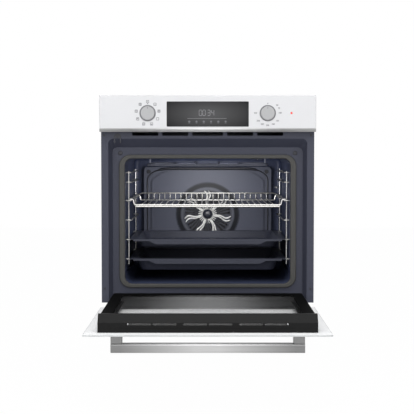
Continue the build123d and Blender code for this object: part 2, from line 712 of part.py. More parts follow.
rack_heights = [level_z(level) for level in range(1, LEVELS + 1)]
rack_heights[-1] -= 3.0
rack_heights.append(RACK_TOP_Z)
rack = []
for height in rack_heights:
    run = [
        (wall_x, rack_front_y, height),
        (RACK_X, rack_front_y, height),
        (RACK_X, rack_back_y, height),
        (wall_x, rack_back_y, height),
    ]
    rack.append(bent_rod(run, RACK_BEND, RACK_WIRE_R))
for post_y in (rack_front_y, rack_back_y):
    rack.append(rod((RACK_POST_X, post_y, RACK_FOOT_Z), (RACK_POST_X, post_y, RACK_TOP_Z + 4), RACK_WIRE_R))
right_rack = Part() + rack
write("side_racks", right_rack, mirror(right_rack, about=Plane.YZ))

# Wire shelf: a flat grid hung between two raised runners, with a backstop
load_front_y = LINER_FRONT_Y + LOAD_FRONT
load_back_y = load_front_y + LOAD_LEN
runner_z = level_z(SHELF_LEVEL) + RACK_WIRE_R + SEAT_GAP + SHELF_WIRE_R
shelf_z = runner_z - SHELF_DROP
shelf_half = SHELF_W / 2
HANGER_BEND = 3.6
HANGER_WIRE_R = SHELF_WIRE_R - 0.2
shelf = []
for rail_y in (load_front_y, load_back_y - 40):
    hanger = [
        (-RACK_X, rail_y, runner_z),
        (-shelf_half - 4, rail_y, runner_z),
        (-shelf_half, rail_y, shelf_z),
        (shelf_half, rail_y, shelf_z),
        (shelf_half + 4, rail_y, runner_z),
        (RACK_X, rail_y, runner_z),
    ]
    shelf.append(bent_rod(hanger, HANGER_BEND, HANGER_WIRE_R))
for side in (-1, 1):
    start = (side * RACK_X, load_front_y - SHELF_WIRE_R, runner_z)
    end = (side * RACK_X, load_back_y + SHELF_WIRE_R, runner_z)
    shelf.append(rod(start, end, SHELF_WIRE_R))
second_z = shelf_z - 1.7 * SHELF_WIRE_R
second_start = (-shelf_half + 3, load_front_y, second_z)
second_end = (shelf_half - 3, load_front_y, second_z)
second_bar = rod(second_start, second_end, SHELF_WIRE_R)
backstop_z = shelf_z + BACKSTOP_H
stop_half = shelf_half - 6
stop_points = [
    (-RACK_X, load_back_y, runner_z),
    (-stop_half - 3, load_back_y, backstop_z),
    (stop_half + 3, load_back_y, backstop_z),
    (RACK_X, load_back_y, runner_z),
]
STOP_WIRE_R = 2.1
STOP_BEND = 6.0
backstop = bent_rod(stop_points, STOP_BEND, STOP_WIRE_R)
cross_step = 2 * stop_half / (CROSS_WIRES + 1)
cross_z = shelf_z + SHELF_WIRE_R
cross_wires = []
uprights = []
for wire in range(CROSS_WIRES):
    cross_x = -stop_half + cross_step * (wire + 1)
    cross_start = (cross_x, load_front_y - 1.2, cross_z)
    cross_end = (cross_x, load_back_y + CROSS_WIRE_R, cross_z)
    cross_wires.append(rod(cross_start, cross_end, CROSS_WIRE_R))
    upright_foot = (cross_x, load_back_y, cross_z)
    upright_head = (cross_x, load_back_y, backstop_z)
    uprights.append(rod(upright_foot, upright_head, CROSS_WIRE_R - 0.2))
# Joined group by group, because one fuse of all the wires at once fails
shelf_grid = Part() + shelf
for group in (second_bar, backstop, cross_wires, uprights):
    shelf_grid += group
write("wire_shelf", shelf_grid)


def baking_tray(rim_low_z, depth):
    """A pressed tray with a flat rim, drawn-in walls and a front apron with a raised middle."""
    rim_top_z = rim_low_z + TRAY_T
    middle_y = (load_front_y + load_back_y) / 2
    bowl_w = TRAY_W - 2 * TRAY_RIM
    bowl_l = LOAD_LEN - 2 * TRAY_RIM

    def bowl(shrink, low_z, top_z):
        upper = RectangleRounded(bowl_w - 2 * shrink, bowl_l - 2 * shrink, TRAY_R)
        lower = RectangleRounded(
            bowl_w - 2 * (shrink + TRAY_DRAFT), bowl_l - 2 * (shrink + TRAY_DRAFT), TRAY_R
        )
        solid = loft([Pos(0, middle_y, low_z) * lower, Pos(0, middle_y, top_z) * upper])
        return fillet(solid.faces().sort_by(Axis.Z)[0].edges(), 6)

    rim = extrude(Pos(0, middle_y, rim_low_z) * RectangleRounded(TRAY_W, LOAD_LEN, 8), TRAY_T)
    tray = rim + bowl(0, rim_top_z - depth, rim_top_z)
    tray -= bowl(TRAY_T, rim_top_z - depth + TRAY_T, rim_top_z + 0.01)
    lip_half = TRAY_W / 2 - 12
    lip_low_z = rim_low_z - LIP_H
    lip_face = polygon(
        (-lip_half, rim_top_z),
        (-lip_half, rim_low_z - LIP_H / 3),
        (-lip_half + LIP_SHORT, rim_low_z - LIP_H / 3),
        (-lip_half + LIP_SHORT + LIP_SLOPE, lip_low_z),
        (lip_half - LIP_SHORT - LIP_SLOPE, lip_low_z),
        (lip_half - LIP_SHORT, rim_low_z - LIP_H / 3),
        (lip_half, rim_low_z - LIP_H / 3),
        (lip_half, rim_top_z),
    )
    return tray + panel(lip_face, load_front_y, TRAY_T)


write("shallow_tray", baking_tray(level_z(TRAY_LEVEL) + RACK_WIRE_R + SEAT_GAP, TRAY_DEPTH))
write("deep_tray", baking_tray(level_z(DEEP_LEVEL) + RACK_WIRE_R + SEAT_GAP, DEEP_DEPTH))

# Oven lamp in the ceiling: sleeve, bulb and glass cover
lamp_floor_z = ceiling_z
LAMP_H = 38.0
LAMP_T = 1.5
LENS_H = 8.0
sleeve = Pos(LAMP_X, lamp_y, CAV_TOP_Z + LAMP_H / 2) * Cylinder(LAMP_R, LAMP_H)
sleeve += Pos(LAMP_X, lamp_y, lamp_floor_z + LAMP_T / 2) * Cylinder(LAMP_R + 6, LAMP_T)
sleeve -= Pos(LAMP_X, lamp_y, CAV_TOP_Z + (LAMP_H - LAMP_T) / 2) * Cylinder(LAMP_R - LAMP_T, LAMP_H - LAMP_T)
write("lamp_sleeve", sleeve)
bulb_top_z = CAV_TOP_Z + LAMP_H - LAMP_T
BULB_R = 7.0
BULB_L = 26.0
bulb = Pos(LAMP_X, lamp_y, bulb_top_z - BULB_L / 2) * Cylinder(BULB_R, BULB_L)
bulb = fillet(bulb.edges().group_by(Axis.Z)[0], 5)
write("lamp_bulb", bulb)
lens = Pos(LAMP_X, lamp_y, CAV_TOP_Z - LENS_H / 2) * Cylinder(LAMP_R + 4, LENS_H)
lens = fillet(lens.edges().group_by(Axis.Z)[0], LENS_H - 2)
lens += Pos(LAMP_X, lamp_y, CAV_TOP_Z + 3) * Cylinder(LAMP_R - LAMP_T - SEAT_GAP, 6)
lens -= Pos(LAMP_X, lamp_y, CAV_TOP_Z + 1) * Cylinder(LAMP_R - LAMP_T - 3, 10)
write("lamp_lens", lens)

# Cooling blower above the cavity and the duct that feeds the front vents
blower_y = BACK_Y - BLOWER_SETBACK
blower_half = BLOWER_W / 2
BLOWER_T = 1.2
BLOWER_GAP = 3.0
OUTLET_L = 75.0
OUTLET_H = 22.0
scroll_r = BLOWER_R + BLOWER_GAP
outlet_low_z = BLOWER_Z - scroll_r


def scroll_face(grow):
    """Section of the blower: a round drum with a flat outlet towards the front."""
    outlet_y = blower_y - OUTLET_L / 2
    outlet_z = outlet_low_z + OUTLET_H / 2
    outlet = Pos(outlet_y, outlet_z) * Rectangle(OUTLET_L, OUTLET_H + 2 * grow)
    return Pos(blower_y, BLOWER_Z) * Circle(scroll_r + grow) + outlet


blower = bar(scroll_face(BLOWER_T), -blower_half - BLOWER_T, blower_half + BLOWER_T)
blower -= bar(scroll_face(0), -blower_half, blower_half)
intake = polygon(
    (blower_y - 6, BLOWER_Z + 10),
    (blower_y + 60, BLOWER_Z + 10),
    (blower_y + 60, BLOWER_Z + 60),
    (blower_y - 6, BLOWER_Z + 60),
)
blower -= bar(intake, -blower_half + 6, blower_half - 6)
AXLE_R = 3.0
axle_hole = Pos(blower_y, BLOWER_Z) * Circle(AXLE_R + RUN_GAP)
blower -= bar(axle_hole, -blower_half - 5, blower_half + 5)
write("blower_housing", blower)
axle_end = blower_half + 20
drum_half = blower_half - 3
disc = Pos(blower_y, BLOWER_Z) * Circle(BLOWER_R)
drum = bar(Pos(blower_y, BLOWER_Z) * Circle(AXLE_R), -blower_half - BLOWER_T, axle_end)
for disc_x in (-drum_half, -BLOWER_T / 2, drum_half - BLOWER_T):
    drum += bar(disc, disc_x, disc_x + BLOWER_T)
for blade in range(BLOWER_BLADES):
    turn = 360 / BLOWER_BLADES * blade
    vane = Pos(blower_y, BLOWER_Z) * Rot(0, 0, turn) * Pos(BLOWER_R - 5.5, 0) * Rot(0, 0, 35)
    drum += bar(vane * Rectangle(9, 0.8), -drum_half, drum_half)
write("blower_drum", drum)
blower_motor = bar(Pos(blower_y, BLOWER_Z) * Circle(21), blower_half + BLOWER_T, axle_end + 8)
blower_motor = fillet(blower_motor.edges().group_by(Axis.X)[-1], 3)
blower_motor -= bar(axle_hole, blower_half, axle_end + 1)
write("blower_motor", blower_motor)
duct_back_y = blower_y - OUTLET_L
duct_front_y = FLANGE_Y + SHEET
vent_span = VENT_MID_W + 4 * (VENT_W + VENT_BRIDGE) + 6


def duct_block(grow, reach):
    """The duct as a tapered block from the blower to the vents."""
    near = Pos(0, vent_z) * Rectangle(vent_span + 2 * grow, VENT_H + 2 + 2 * grow)
    far = Pos(0, outlet_low_z + OUTLET_H / 2) * Rectangle(BLOWER_W + 2 * grow, OUTLET_H + 2 * grow)
    return loft([front_plane(duct_front_y - reach) * near, front_plane(duct_back_y + reach) * far])


write("air_duct", duct_block(BLOWER_T, 0) - duct_block(0, 0))
pipe_top_z = outlet_low_z - BLOWER_T - SEAT_GAP
pipe_wall = 1.5
pipe_r = PIPE_R - SEAT_GAP
pipe = Pos(-LAMP_X, pipe_y, (CAV_TOP_Z + pipe_top_z) / 2) * Cylinder(pipe_r, pipe_top_z - CAV_TOP_Z)
pipe += Pos(-LAMP_X, pipe_y, ceiling_z + LAMP_T / 2) * Cylinder(PIPE_R + 5, LAMP_T)
pipe -= Pos(-LAMP_X, pipe_y, pipe_top_z - 20) * Cylinder(pipe_r - pipe_wall, 100)
write("steam_vent_pipe", pipe)

# Glass-wool wrap round the cavity
wool_in_w = CAV_W + 2 * (BEAD_R + SLIDE_GAP)
wool_low_z = BOTTOM_Z - TUBE_R - SLIDE_GAP
wool_top_z = ceiling_z + SEAT_GAP
wool_in_h = wool_top_z - wool_low_z
wool_z = (wool_top_z + wool_low_z) / 2
wool_face = rounded(wool_in_w + 2 * WOOL_T, wool_in_h + 2 * WOOL_T, CAV_R + WOOL_T, 0, wool_z)
wool_face -= rounded(wool_in_w, wool_in_h, CAV_R, 0, wool_z)
wool_front_y = LINER_FRONT_Y + LINER_T + 4
wool = panel(wool_face, wool_front_y, CAV_BACK_Y - 8 - wool_front_y)
wool -= Pos(LAMP_X, lamp_y, wool_top_z) * Cylinder(LAMP_R + 8, 3 * WOOL_T)
wool -= Pos(-LAMP_X, pipe_y, wool_top_z) * Cylinder(PIPE_R + 7, 3 * WOOL_T)
write("insulation_wrap", wool)

# Temperature probe and the mains terminal box with its cable gland
probe = tube_y(CAV_BACK_Y - 42, LINER_BACK_Y + 12, PROBE_X, PROBE_Z, PROBE_R)
probe += tube_y(LINER_BACK_Y, LINER_BACK_Y + 1.5, PROBE_X, PROBE_Z, PROBE_R + 5)
write("temperature_probe", probe)
TERMINAL_D = 22.0
TERMINAL_T = 2.0
box_y = BACK_Y + CASE_SHEET
box_face = rounded(TERMINAL_W, TERMINAL_W, 6, TERMINAL_X, TERMINAL_Z)
box_hollow = rounded(TERMINAL_W - 2 * TERMINAL_T, TERMINAL_W - 2 * TERMINAL_T, 4, TERMINAL_X, TERMINAL_Z)
terminal = panel(box_face, box_y, TERMINAL_D)
terminal = fillet(terminal.faces().sort_by(Axis.Y)[-1].edges(), 3)
GLAND_L = 14.0
GLAND_T = 3.0
gland_y = box_y + TERMINAL_D / 2
box_low_z = TERMINAL_Z - TERMINAL_W / 2
gland = Pos(TERMINAL_X, gland_y, box_low_z - GLAND_L / 2 + 0.5) * Cylinder(GLAND_R + GLAND_T, GLAND_L + 1)
terminal += gland
terminal -= panel(box_hollow, box_y - 1, TERMINAL_D - TERMINAL_T + 1)
terminal -= Pos(TERMINAL_X, gland_y, box_low_z - 5) * Cylinder(GLAND_R, 2 * GLAND_L)
write("terminal_box", terminal)

# Control panel: folded white fascia over a carrier, with its trim strip
fascia_low_z = PANEL_LOW_Z + TRIM_H
fascia_h = PANEL_TOP_Z - fascia_low_z
fascia_z = (PANEL_TOP_Z + fascia_low_z) / 2
fascia = panel(rounded(FRONT_W, fascia_h, 2, 0, fascia_z), FACE_Y, PANEL_D)
fascia = chamfer(fascia.faces().sort_by(Axis.Y)[0].edges(), 1.2)
inside = rounded(FRONT_W - 2 * FASCIA_T, fascia_h - 2 * FASCIA_T, 1, 0, fascia_z)
fascia -= panel(inside, FACE_Y + FASCIA_T, PANEL_D)
fascia -= panel(rounded(WINDOW_W, WINDOW_H, 2, 0, WINDOW_Z), FACE_Y - 1, FASCIA_T + 2)
sleeve_in_r = KNOB_R + SLIDE_GAP
sleeve_out_r = sleeve_in_r + RING_WALL
for knob_x in (-KNOB_X, KNOB_X):
    fascia -= tube_y(FACE_Y - 1, FACE_Y + FASCIA_T + 1, knob_x, KNOB_Z, sleeve_out_r + SEAT_GAP)
fascia -= tube_y(FACE_Y - 1, FACE_Y + FASCIA_T + 1, LED_X, KNOB_Z, LED_R + SEAT_GAP)
write("control_fascia", fascia)
strip_t = 1.5
strip_top_z = fascia_low_z
strip_face = polygon(
    (FACE_Y, strip_top_z),
    (FACE_Y, strip_top_z - 2),
    (FACE_Y + 4, PANEL_LOW_Z),
    (FLANGE_Y, PANEL_LOW_Z),
    (FLANGE_Y, PANEL_LOW_Z + strip_t),
    (FACE_Y + 5, PANEL_LOW_Z + strip_t),
    (FACE_Y + strip_t, strip_top_z - 1.6),
    (FACE_Y + strip_t, strip_top_z),
)
write("trim_strip", bar(strip_face, -FRONT_W / 2, FRONT_W / 2))
window = rounded(WINDOW_W - 2 * SEAT_GAP, WINDOW_H - 2 * SEAT_GAP, 2, 0, WINDOW_Z)
window_back_y = FACE_Y + SEAT_GAP + WINDOW_T
write("display_window", panel(window, FACE_Y + SEAT_GAP, WINDOW_T))
carrier_y = FLANGE_Y - CARRIER_T
carrier_w = FRONT_W - 2 * FASCIA_T - 8
carrier_h = fascia_h - 2 * FASCIA_T - 4
carrier = panel(rounded(carrier_w, carrier_h, 3, 0, fascia_z), carrier_y, CARRIER_T)
rim_in = rounded(carrier_w - 4, carrier_h - 4, 2, 0, fascia_z)
carrier += panel(rounded(carrier_w, carrier_h, 3, 0, fascia_z) - rim_in, carrier_y - 6, 6)
for knob_x in (-KNOB_X, KNOB_X):
    carrier -= tube_y(carrier_y - 1, FLANGE_Y + 1, knob_x, KNOB_Z, 2 * SPINDLE_R)
write("panel_carrier", carrier)
board_y = carrier_y - 4 - BOARD_T
module_y = window_back_y + SEAT_GAP
module_w = WINDOW_W - 9
module_h = WINDOW_H - 7
module = panel(rounded(module_w, module_h, 3, 0, WINDOW_Z), module_y, board_y - module_y)
module -= panel(rounded(module_w - 16, module_h - 16, 3, 0, WINDOW_Z), module_y - 1, 3)
board_w = WINDOW_W + 35
board_h = WINDOW_H - 8
module += panel(rounded(board_w, board_h, 2, 0, WINDOW_Z), board_y, BOARD_T)
for side in (-1, 1):
    for post_z in (WINDOW_Z - board_h / 2 + 5, WINDOW_Z + board_h / 2 - 5):
        module += tube_y(board_y + BOARD_T, carrier_y, side * (board_w / 2 - 6), post_z, 3)
write("display_module", module)
write("indicator_lens", tube_y(FACE_Y - 0.6, carrier_y, LED_X, KNOB_Z, LED_R))


def knob_ring(x):
    """The trim ring that lines a knob's hole in the fascia."""
    ring = tube_y(FACE_Y - RING_PROUD, FACE_Y, x, KNOB_Z, RING_OUT_R, sleeve_in_r)
    ring = fillet(ring.edges().group_by(Axis.Y)[0].sort_by(SortBy.LENGTH)[-1], 1.2)
    return ring + tube_y(FACE_Y, FACE_Y + RING_SLEEVE_L, x, KNOB_Z, sleeve_out_r, sleeve_in_r)


def knob_set(name, x):
    """One pop-out knob with its spindle and the switch behind the panel."""
    tip_y = FACE_Y - KNOB_PROUD
    knob = tube_y(tip_y, tip_y + KNOB_L, x, KNOB_Z, KNOB_R)
    knob = fillet(knob.edges().group_by(Axis.Y)[0], 1.6)
    hollow_r = KNOB_R - 2.5
    knob -= tube_y(tip_y + 6, tip_y + KNOB_L + 1, x, KNOB_Z, hollow_r, SPINDLE_R + 3)
    knob -= tube_y(FACE_Y, tip_y + KNOB_L + 1, x, KNOB_Z, SPINDLE_R + RUN_GAP)
    write(f"{name}_knob", knob)
    switch_y = FLANGE_Y
    spindle_end_y = switch_y + SWITCH_L - 12
    write(f"{name}_spindle", tube_y(FACE_Y + SPINDLE_TIP, spindle_end_y, x, KNOB_Z, SPINDLE_R))
    switch = panel(rounded(SWITCH_W + 6, SWITCH_W + 6, 4, x, KNOB_Z), switch_y, SHEET)
    switch += panel(rounded(SWITCH_W, SWITCH_W, 4, x, KNOB_Z), switch_y, SWITCH_L)
    for blade in range(4):
        blade_z = KNOB_Z - SWITCH_W / 2 + SWITCH_W * (blade + 0.5) / 4
        switch += panel(Pos(x, blade_z) * Rectangle(6, 1), switch_y + SWITCH_L, 8)
    switch -= tube_y(switch_y - 1, spindle_end_y + 1, x, KNOB_Z, SPINDLE_R + RUN_GAP)
    write(f"{name}_switch", switch)


write("knob_rings", knob_ring(-KNOB_X), knob_ring(KNOB_X))
knob_set("function", -KNOB_X)
knob_set("temperature", KNOB_X)

# Door, folded down: outer glass, rails, panes and profiles
door_back_y = FACE_Y + DOOR_TAIL
handle_y = DOOR_FRONT_Y + HANDLE_SETBACK
handle_screw_y = PROFILE_Y + 7.5
post_x = HANDLE_L / 2 - POST_W / 2
door_mid_y = (DOOR_FRONT_Y + door_back_y) / 2
glass_face = Pos(0, door_mid_y, DOOR_FACE_Z) * RectangleRounded(FRONT_W, door_back_y - DOOR_FRONT_Y, 4)
glass = chamfer(extrude(glass_face, GLASS_T).edges().filter_by(GeomType.LINE).filter_by(Axis.X), 0.6)
for side in (-1, 1):
    screw_place = Pos(side * post_x, handle_screw_y, DOOR_FACE_Z)
    glass -= screw_place * Cylinder(HANDLE_SCREW_R + RUN_GAP, 4 * GLASS_T)
write("door_outer_glass", glass)

rail_h = PANE_LOW_Z - GLASS_TOP_Z
rail_z = (PANE_LOW_Z + GLASS_TOP_Z) / 2
mid_pane_top_z = PANE_LOW_Z - MID_PANE_DROP
ledge_z = mid_pane_top_z - GLASS_T - RAIL_T / 2
rail_face = Pos(rail_x, rail_z) * Rectangle(RAIL_W, rail_h)
rail_face -= Pos(rail_x, rail_z) * Rectangle(RAIL_W - 2 * RAIL_T, rail_h - 2 * RAIL_T)
rail_in_x = rail_x - RAIL_W / 2
rail = panel(rail_face, RAIL_FRONT_Y, RAIL_REAR_Y - RAIL_FRONT_Y)
ledge_face = Pos(rail_in_x - PANE_LEDGE / 2 + RAIL_T / 2, ledge_z) * Rectangle(PANE_LEDGE + RAIL_T, RAIL_T)
ledge_end_y = RAIL_REAR_Y - RAIL_T - SLIDE_GAP
rail += panel(ledge_face, RAIL_FRONT_Y, ledge_end_y - RAIL_FRONT_Y)
write("door_rails", *both_sides(rail))

pane_mid_y = (PANE_FRONT_Y + PANE_REAR_Y) / 2
pane_face = Pos(0, pane_mid_y, PANE_LOW_Z) * RectangleRounded(INNER_W, PANE_REAR_Y - PANE_FRONT_Y, 6)
pane = chamfer(extrude(pane_face, GLASS_T).faces().sort_by(Axis.Z)[-1].edges(), 0.6)
write("door_inner_pane", pane)
foot_y = RAIL_REAR_Y - RAIL_T
foot_front_y = foot_y - 12
mid_front_y = RAIL_FRONT_Y + 2
mid_rear_y = foot_y - SLIDE_GAP
mid_w = 2 * (rail_in_x - SLIDE_GAP)
mid_face = Pos(0, (mid_front_y + mid_rear_y) / 2, mid_pane_top_z - GLASS_T)
write("door_middle_pane", extrude(mid_face * RectangleRounded(mid_w, mid_rear_y - mid_front_y, 4), GLASS_T))

lip_z = PANE_TOP_Z + LIP_PROUD
turn_z = GLASS_TOP_Z + SLANT_START
crest_y = PROFILE_Y + SLANT_RUN
profile_face = polygon(
    (PROFILE_Y, GLASS_TOP_Z),
    (PROFILE_Y, turn_z),
    (crest_y, lip_z),
    (crest_y + TOP_LIP, lip_z),
    (crest_y + TOP_LIP, PANE_TOP_Z + SEAT_GAP),
    (crest_y + 0.9, PANE_TOP_Z + SEAT_GAP),
    (PROFILE_Y + RAIL_T, turn_z - 0.8),
    (PROFILE_Y + RAIL_T, GLASS_TOP_Z + RAIL_T),
    (PROFILE_Y + 12, GLASS_TOP_Z + RAIL_T),
    (PROFILE_Y + 12, GLASS_TOP_Z),
)
profile_half = PROFILE_W / 2
profile = bar(profile_face, -profile_half, profile_half)
cap_face = polygon(
    (PROFILE_Y, GLASS_TOP_Z),
    (PROFILE_Y, turn_z),
    (crest_y, lip_z),
    (crest_y + TOP_LIP, lip_z),
    (crest_y + TOP_LIP, GLASS_TOP_Z),
)
cap_x = profile_half - RAIL_T
profile += both_sides(bar(cap_face, cap_x, profile_half))
slot_z = turn_z - 3.5
slot_pitch = PROFILE_SLOT_W + 4
group_pitch = 2 * slot_pitch + 12
for group in (-1, 0, 1):
    for side in (-0.5, 0.5):
        slot_x = group * group_pitch + side * slot_pitch
        slot_face = rounded(PROFILE_SLOT_W, PROFILE_SLOT_H, 2, slot_x, slot_z)
        profile -= panel(slot_face, PROFILE_Y - 1, RAIL_T + 2)
GROOVE_H = 2.0
groove_z = GLASS_TOP_Z + 10
profile -= panel(Pos(0, groove_z) * Rectangle(0.8 * PROFILE_W, GROOVE_H), PROFILE_Y - 1, 1.8)
for side in (-1, 1):
    flange_hole = Pos(side * post_x, handle_screw_y, GLASS_TOP_Z) * Cylinder(HANDLE_SCREW_R + RUN_GAP, 6)
    profile -= flange_hole
write("door_top_profile", profile)

foot_half = rail_in_x - SLIDE_GAP
foot_face = polygon(
    (foot_front_y, GLASS_TOP_Z),
    (RAIL_REAR_Y, GLASS_TOP_Z),
    (RAIL_REAR_Y, PANE_LOW_Z),
    (foot_front_y, PANE_LOW_Z),
    (foot_front_y, PANE_LOW_Z - RAIL_T),
    (foot_y, PANE_LOW_Z - RAIL_T),
    (foot_y, GLASS_TOP_Z + RAIL_T),
    (foot_front_y, GLASS_TOP_Z + RAIL_T),
)
write("door_bottom_profile", bar(foot_face, -foot_half, foot_half))

# Handle: an extruded bar carried by two end posts
handle_top_z = DOOR_FACE_Z - HANDLE_GAP
handle_place = Pos(handle_y + HANDLE_DEPTH / 2, handle_top_z - HANDLE_T / 2)
handle_face = handle_place * RectangleRounded(HANDLE_DEPTH, HANDLE_T, 5)
write("handle_bar", chamfer(bar(handle_face, -HANDLE_L / 2, HANDLE_L / 2).edges().group_by(Axis.X)[0], 0.6))
posts = []
handle_screws = []
post_screw_low_z = handle_top_z + 4
for side in (-1, 1):
    post_mid = Pos(side * post_x, handle_y + POST_DEPTH / 2, handle_top_z)
    foot = RectangleRounded(POST_W, POST_DEPTH, 4)
    neck = Pos(0, -POST_DEPTH / 2 + HANDLE_DEPTH / 2, 0) * RectangleRounded(POST_W, HANDLE_DEPTH, 4)
    post = loft([post_mid * neck, post_mid * Pos(0, 0, HANDLE_GAP) * foot])
    bore_l = 2 * (DOOR_FACE_Z - post_screw_low_z)
    post -= Pos(side * post_x, handle_screw_y, DOOR_FACE_Z) * Cylinder(HANDLE_SCREW_R + RUN_GAP, bore_l)
    posts.append(post)
    flange_top_z = GLASS_TOP_Z + RAIL_T
    shank_l = flange_top_z - post_screw_low_z - 1
    shank_place = Pos(side * post_x, handle_screw_y, flange_top_z - shank_l / 2)
    screw = shank_place * Cylinder(HANDLE_SCREW_R, shank_l)
    screw_head = Pos(side * post_x, handle_screw_y, flange_top_z + HANDLE_SCREW_HEAD_H / 2)
    handle_screws.append(screw + screw_head * Cylinder(HANDLE_SCREW_HEAD_R, HANDLE_SCREW_HEAD_H))
write("handle_posts", *posts)
write("handle_screws", *handle_screws)

# Door hinges: a channel with its spring in each rail, a pin, and an arm hooked into the frame
channel_half = RAIL_W / 2 - RAIL_T - SEAT_GAP
channel_low_z = GLASS_TOP_Z + RAIL_T + SEAT_GAP
channel_top_z = PANE_LOW_Z - RAIL_T - SEAT_GAP
channel_y = RAIL_REAR_Y - CHANNEL_L
pin_spot = Pos(HINGE_Y, HINGE_Z)
cheek_face = polygon(
    (channel_y, channel_low_z),
    (channel_y, channel_top_z),
    (RAIL_REAR_Y - 6, channel_top_z),
    (HINGE_Y + 4, HINGE_Z + 0.8 * NOSE_R),
    (HINGE_Y, HINGE_Z - NOSE_R),
    (RAIL_REAR_Y, channel_low_z),
)
cheek_face += pin_spot * Circle(NOSE_R)
cheek_face -= pin_spot * Circle(PIN_R)
cheek_in = channel_half - CHANNEL_T
channel = bar(cheek_face, rail_x - channel_half, rail_x - cheek_in)
channel += bar(cheek_face, rail_x + cheek_in, rail_x + channel_half)
web_x = (rail_x - channel_half, rail_x + channel_half)
channel += slab(*web_x, channel_y, RAIL_REAR_Y, channel_low_z, channel_low_z + CHANNEL_T)
spring_y = channel_y + 20
spring_z = (channel_low_z + channel_top_z) / 2
spring_end_y = spring_y + SPRING_L
for tab_y in (spring_y - CHANNEL_T, spring_end_y):
    stop = slab(*web_x, tab_y, tab_y + CHANNEL_T, channel_low_z, channel_top_z - 4)
    channel += stop - tube_y(tab_y - 1, tab_y + CHANNEL_T + 1, rail_x, spring_z, SPRING_BORE)
write("hinge_channels", *both_sides(channel))
spring = tube_y(spring_y, spring_end_y, rail_x, spring_z, min(SPRING_R, cheek_in - SEAT_GAP), SPRING_BORE)
write("hinge_springs", *both_sides(spring))
pin_half = channel_half + 1
pin = bar(pin_spot * Circle(PIN_R), rail_x - pin_half, rail_x + pin_half)
write("hinge_pins", *both_sides(pin))
arm_end_y = HINGE_Y + ARM_LEN
arm_face = pin_spot * Circle(ARM_H / 2)
arm_face += Pos((HINGE_Y + arm_end_y) / 2, HINGE_Z) * RectangleRounded(ARM_LEN, ARM_H, 3)
arm_face += Pos(HINGE_Y + ARM_LEN / 4, HINGE_Z) * Rectangle(ARM_LEN / 2, ARM_H)
notch_y = PLATE_BACK_Y + 12
arm_face -= Pos(notch_y, HINGE_Z - ARM_H / 2) * Circle(4)
arm_face -= pin_spot * Circle(PIN_R + RUN_GAP)
arm = bar(arm_face, rail_x - ARM_T / 2, rail_x + ARM_T / 2)
write("hinge_arms", *both_sides(arm))
receiver_in = ARM_T / 2 + SEAT_GAP
receiver_out = receiver_in + CHANNEL_T
web_top_z = HINGE_Z - ARM_H / 2 - SEAT_GAP
receiver_top_z = HINGE_Z + ARM_H / 2 + 2
receiver_end_y = arm_end_y + 4
receiver_low_z = web_top_z - CHANNEL_T
receiver = slab(
    rail_x - receiver_out, rail_x + receiver_out,
    PLATE_BACK_Y, receiver_end_y,
    receiver_low_z, receiver_top_z,
)
receiver -= slab(
    rail_x - receiver_in, rail_x + receiver_in,
    PLATE_BACK_Y - 1, receiver_end_y + 1,
    web_top_z, receiver_top_z + 1,
)
roller = Pos(notch_y, HINGE_Z - ARM_H / 2) * Circle(4 - SEAT_GAP)
receiver += bar(roller, rail_x - receiver_out, rail_x + receiver_out)
write("hinge_receivers", *both_sides(receiver))
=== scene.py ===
# %% [markdown]
# A built-in wall oven with its door folded down. The solids come in as a fixed frame,
# in metres, and this lesson gives them finishes and adds the small printed pieces.

# %% Load the frame
import json
import math
import bmesh
import bpy
from mathutils import Matrix, Vector


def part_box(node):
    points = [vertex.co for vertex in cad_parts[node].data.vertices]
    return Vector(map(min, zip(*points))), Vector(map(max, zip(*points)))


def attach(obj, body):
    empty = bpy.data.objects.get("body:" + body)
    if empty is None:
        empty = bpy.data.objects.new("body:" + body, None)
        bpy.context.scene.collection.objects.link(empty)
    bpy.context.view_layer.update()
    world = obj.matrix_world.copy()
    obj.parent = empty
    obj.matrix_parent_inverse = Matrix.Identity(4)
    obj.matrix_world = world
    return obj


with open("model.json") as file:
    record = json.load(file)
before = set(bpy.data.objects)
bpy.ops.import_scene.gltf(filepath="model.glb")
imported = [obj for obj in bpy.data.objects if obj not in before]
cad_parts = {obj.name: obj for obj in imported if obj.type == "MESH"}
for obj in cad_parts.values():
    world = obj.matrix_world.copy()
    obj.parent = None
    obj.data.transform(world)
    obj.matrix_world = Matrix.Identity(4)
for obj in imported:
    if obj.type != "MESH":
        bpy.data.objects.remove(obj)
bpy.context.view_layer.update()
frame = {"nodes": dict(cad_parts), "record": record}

# %% [markdown]
# A few places are read from the solids, so that every added piece follows them: the face of
# the control panel, the two knobs, the display, the door's panes and the fan with its cover.

# %% Reference places
def corners(node):
    """The lowest and the highest corner of a solid."""
    return tuple(Vector(corner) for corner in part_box(node))


fascia_low, fascia_high = corners("control_fascia")
knob_low, knob_high = corners("function_knob")
window_low, window_high = corners("display_window")
cover_low, cover_high = corners("fan_cover")
pane_low, pane_high = corners("door_inner_pane")
glass_low, glass_high = corners("door_outer_glass")
impeller_low, impeller_high = corners("convection_impeller")
face_y = fascia_low.y
knob_x = abs((knob_low.x + knob_high.x) / 2)
knob_z = (knob_low.z + knob_high.z) / 2
fan_z = (impeller_low.z + impeller_high.z) / 2
print("panel face at", round(face_y, 4), "knobs at", round(knob_x, 4), round(knob_z, 4))

# %% [markdown]
# Every finish is a small node tree on Object coordinates. One helper starts a tree with its
# Principled shader, a few more add single nodes, and coat_finish wires a noise into colour,
# roughness and a faint bump, because a real surface is never one flat tone.

# %% Material helpers
def new_finish(name):
    """A node material with its tree, its shader and its Object coordinates."""
    material = bpy.data.materials.new(name)
    material.use_nodes = True
    tree = material.node_tree
    shader = tree.nodes["Principled BSDF"]
    place = tree.nodes.new("ShaderNodeTexCoord")
    return material, tree, shader, place.outputs["Object"]


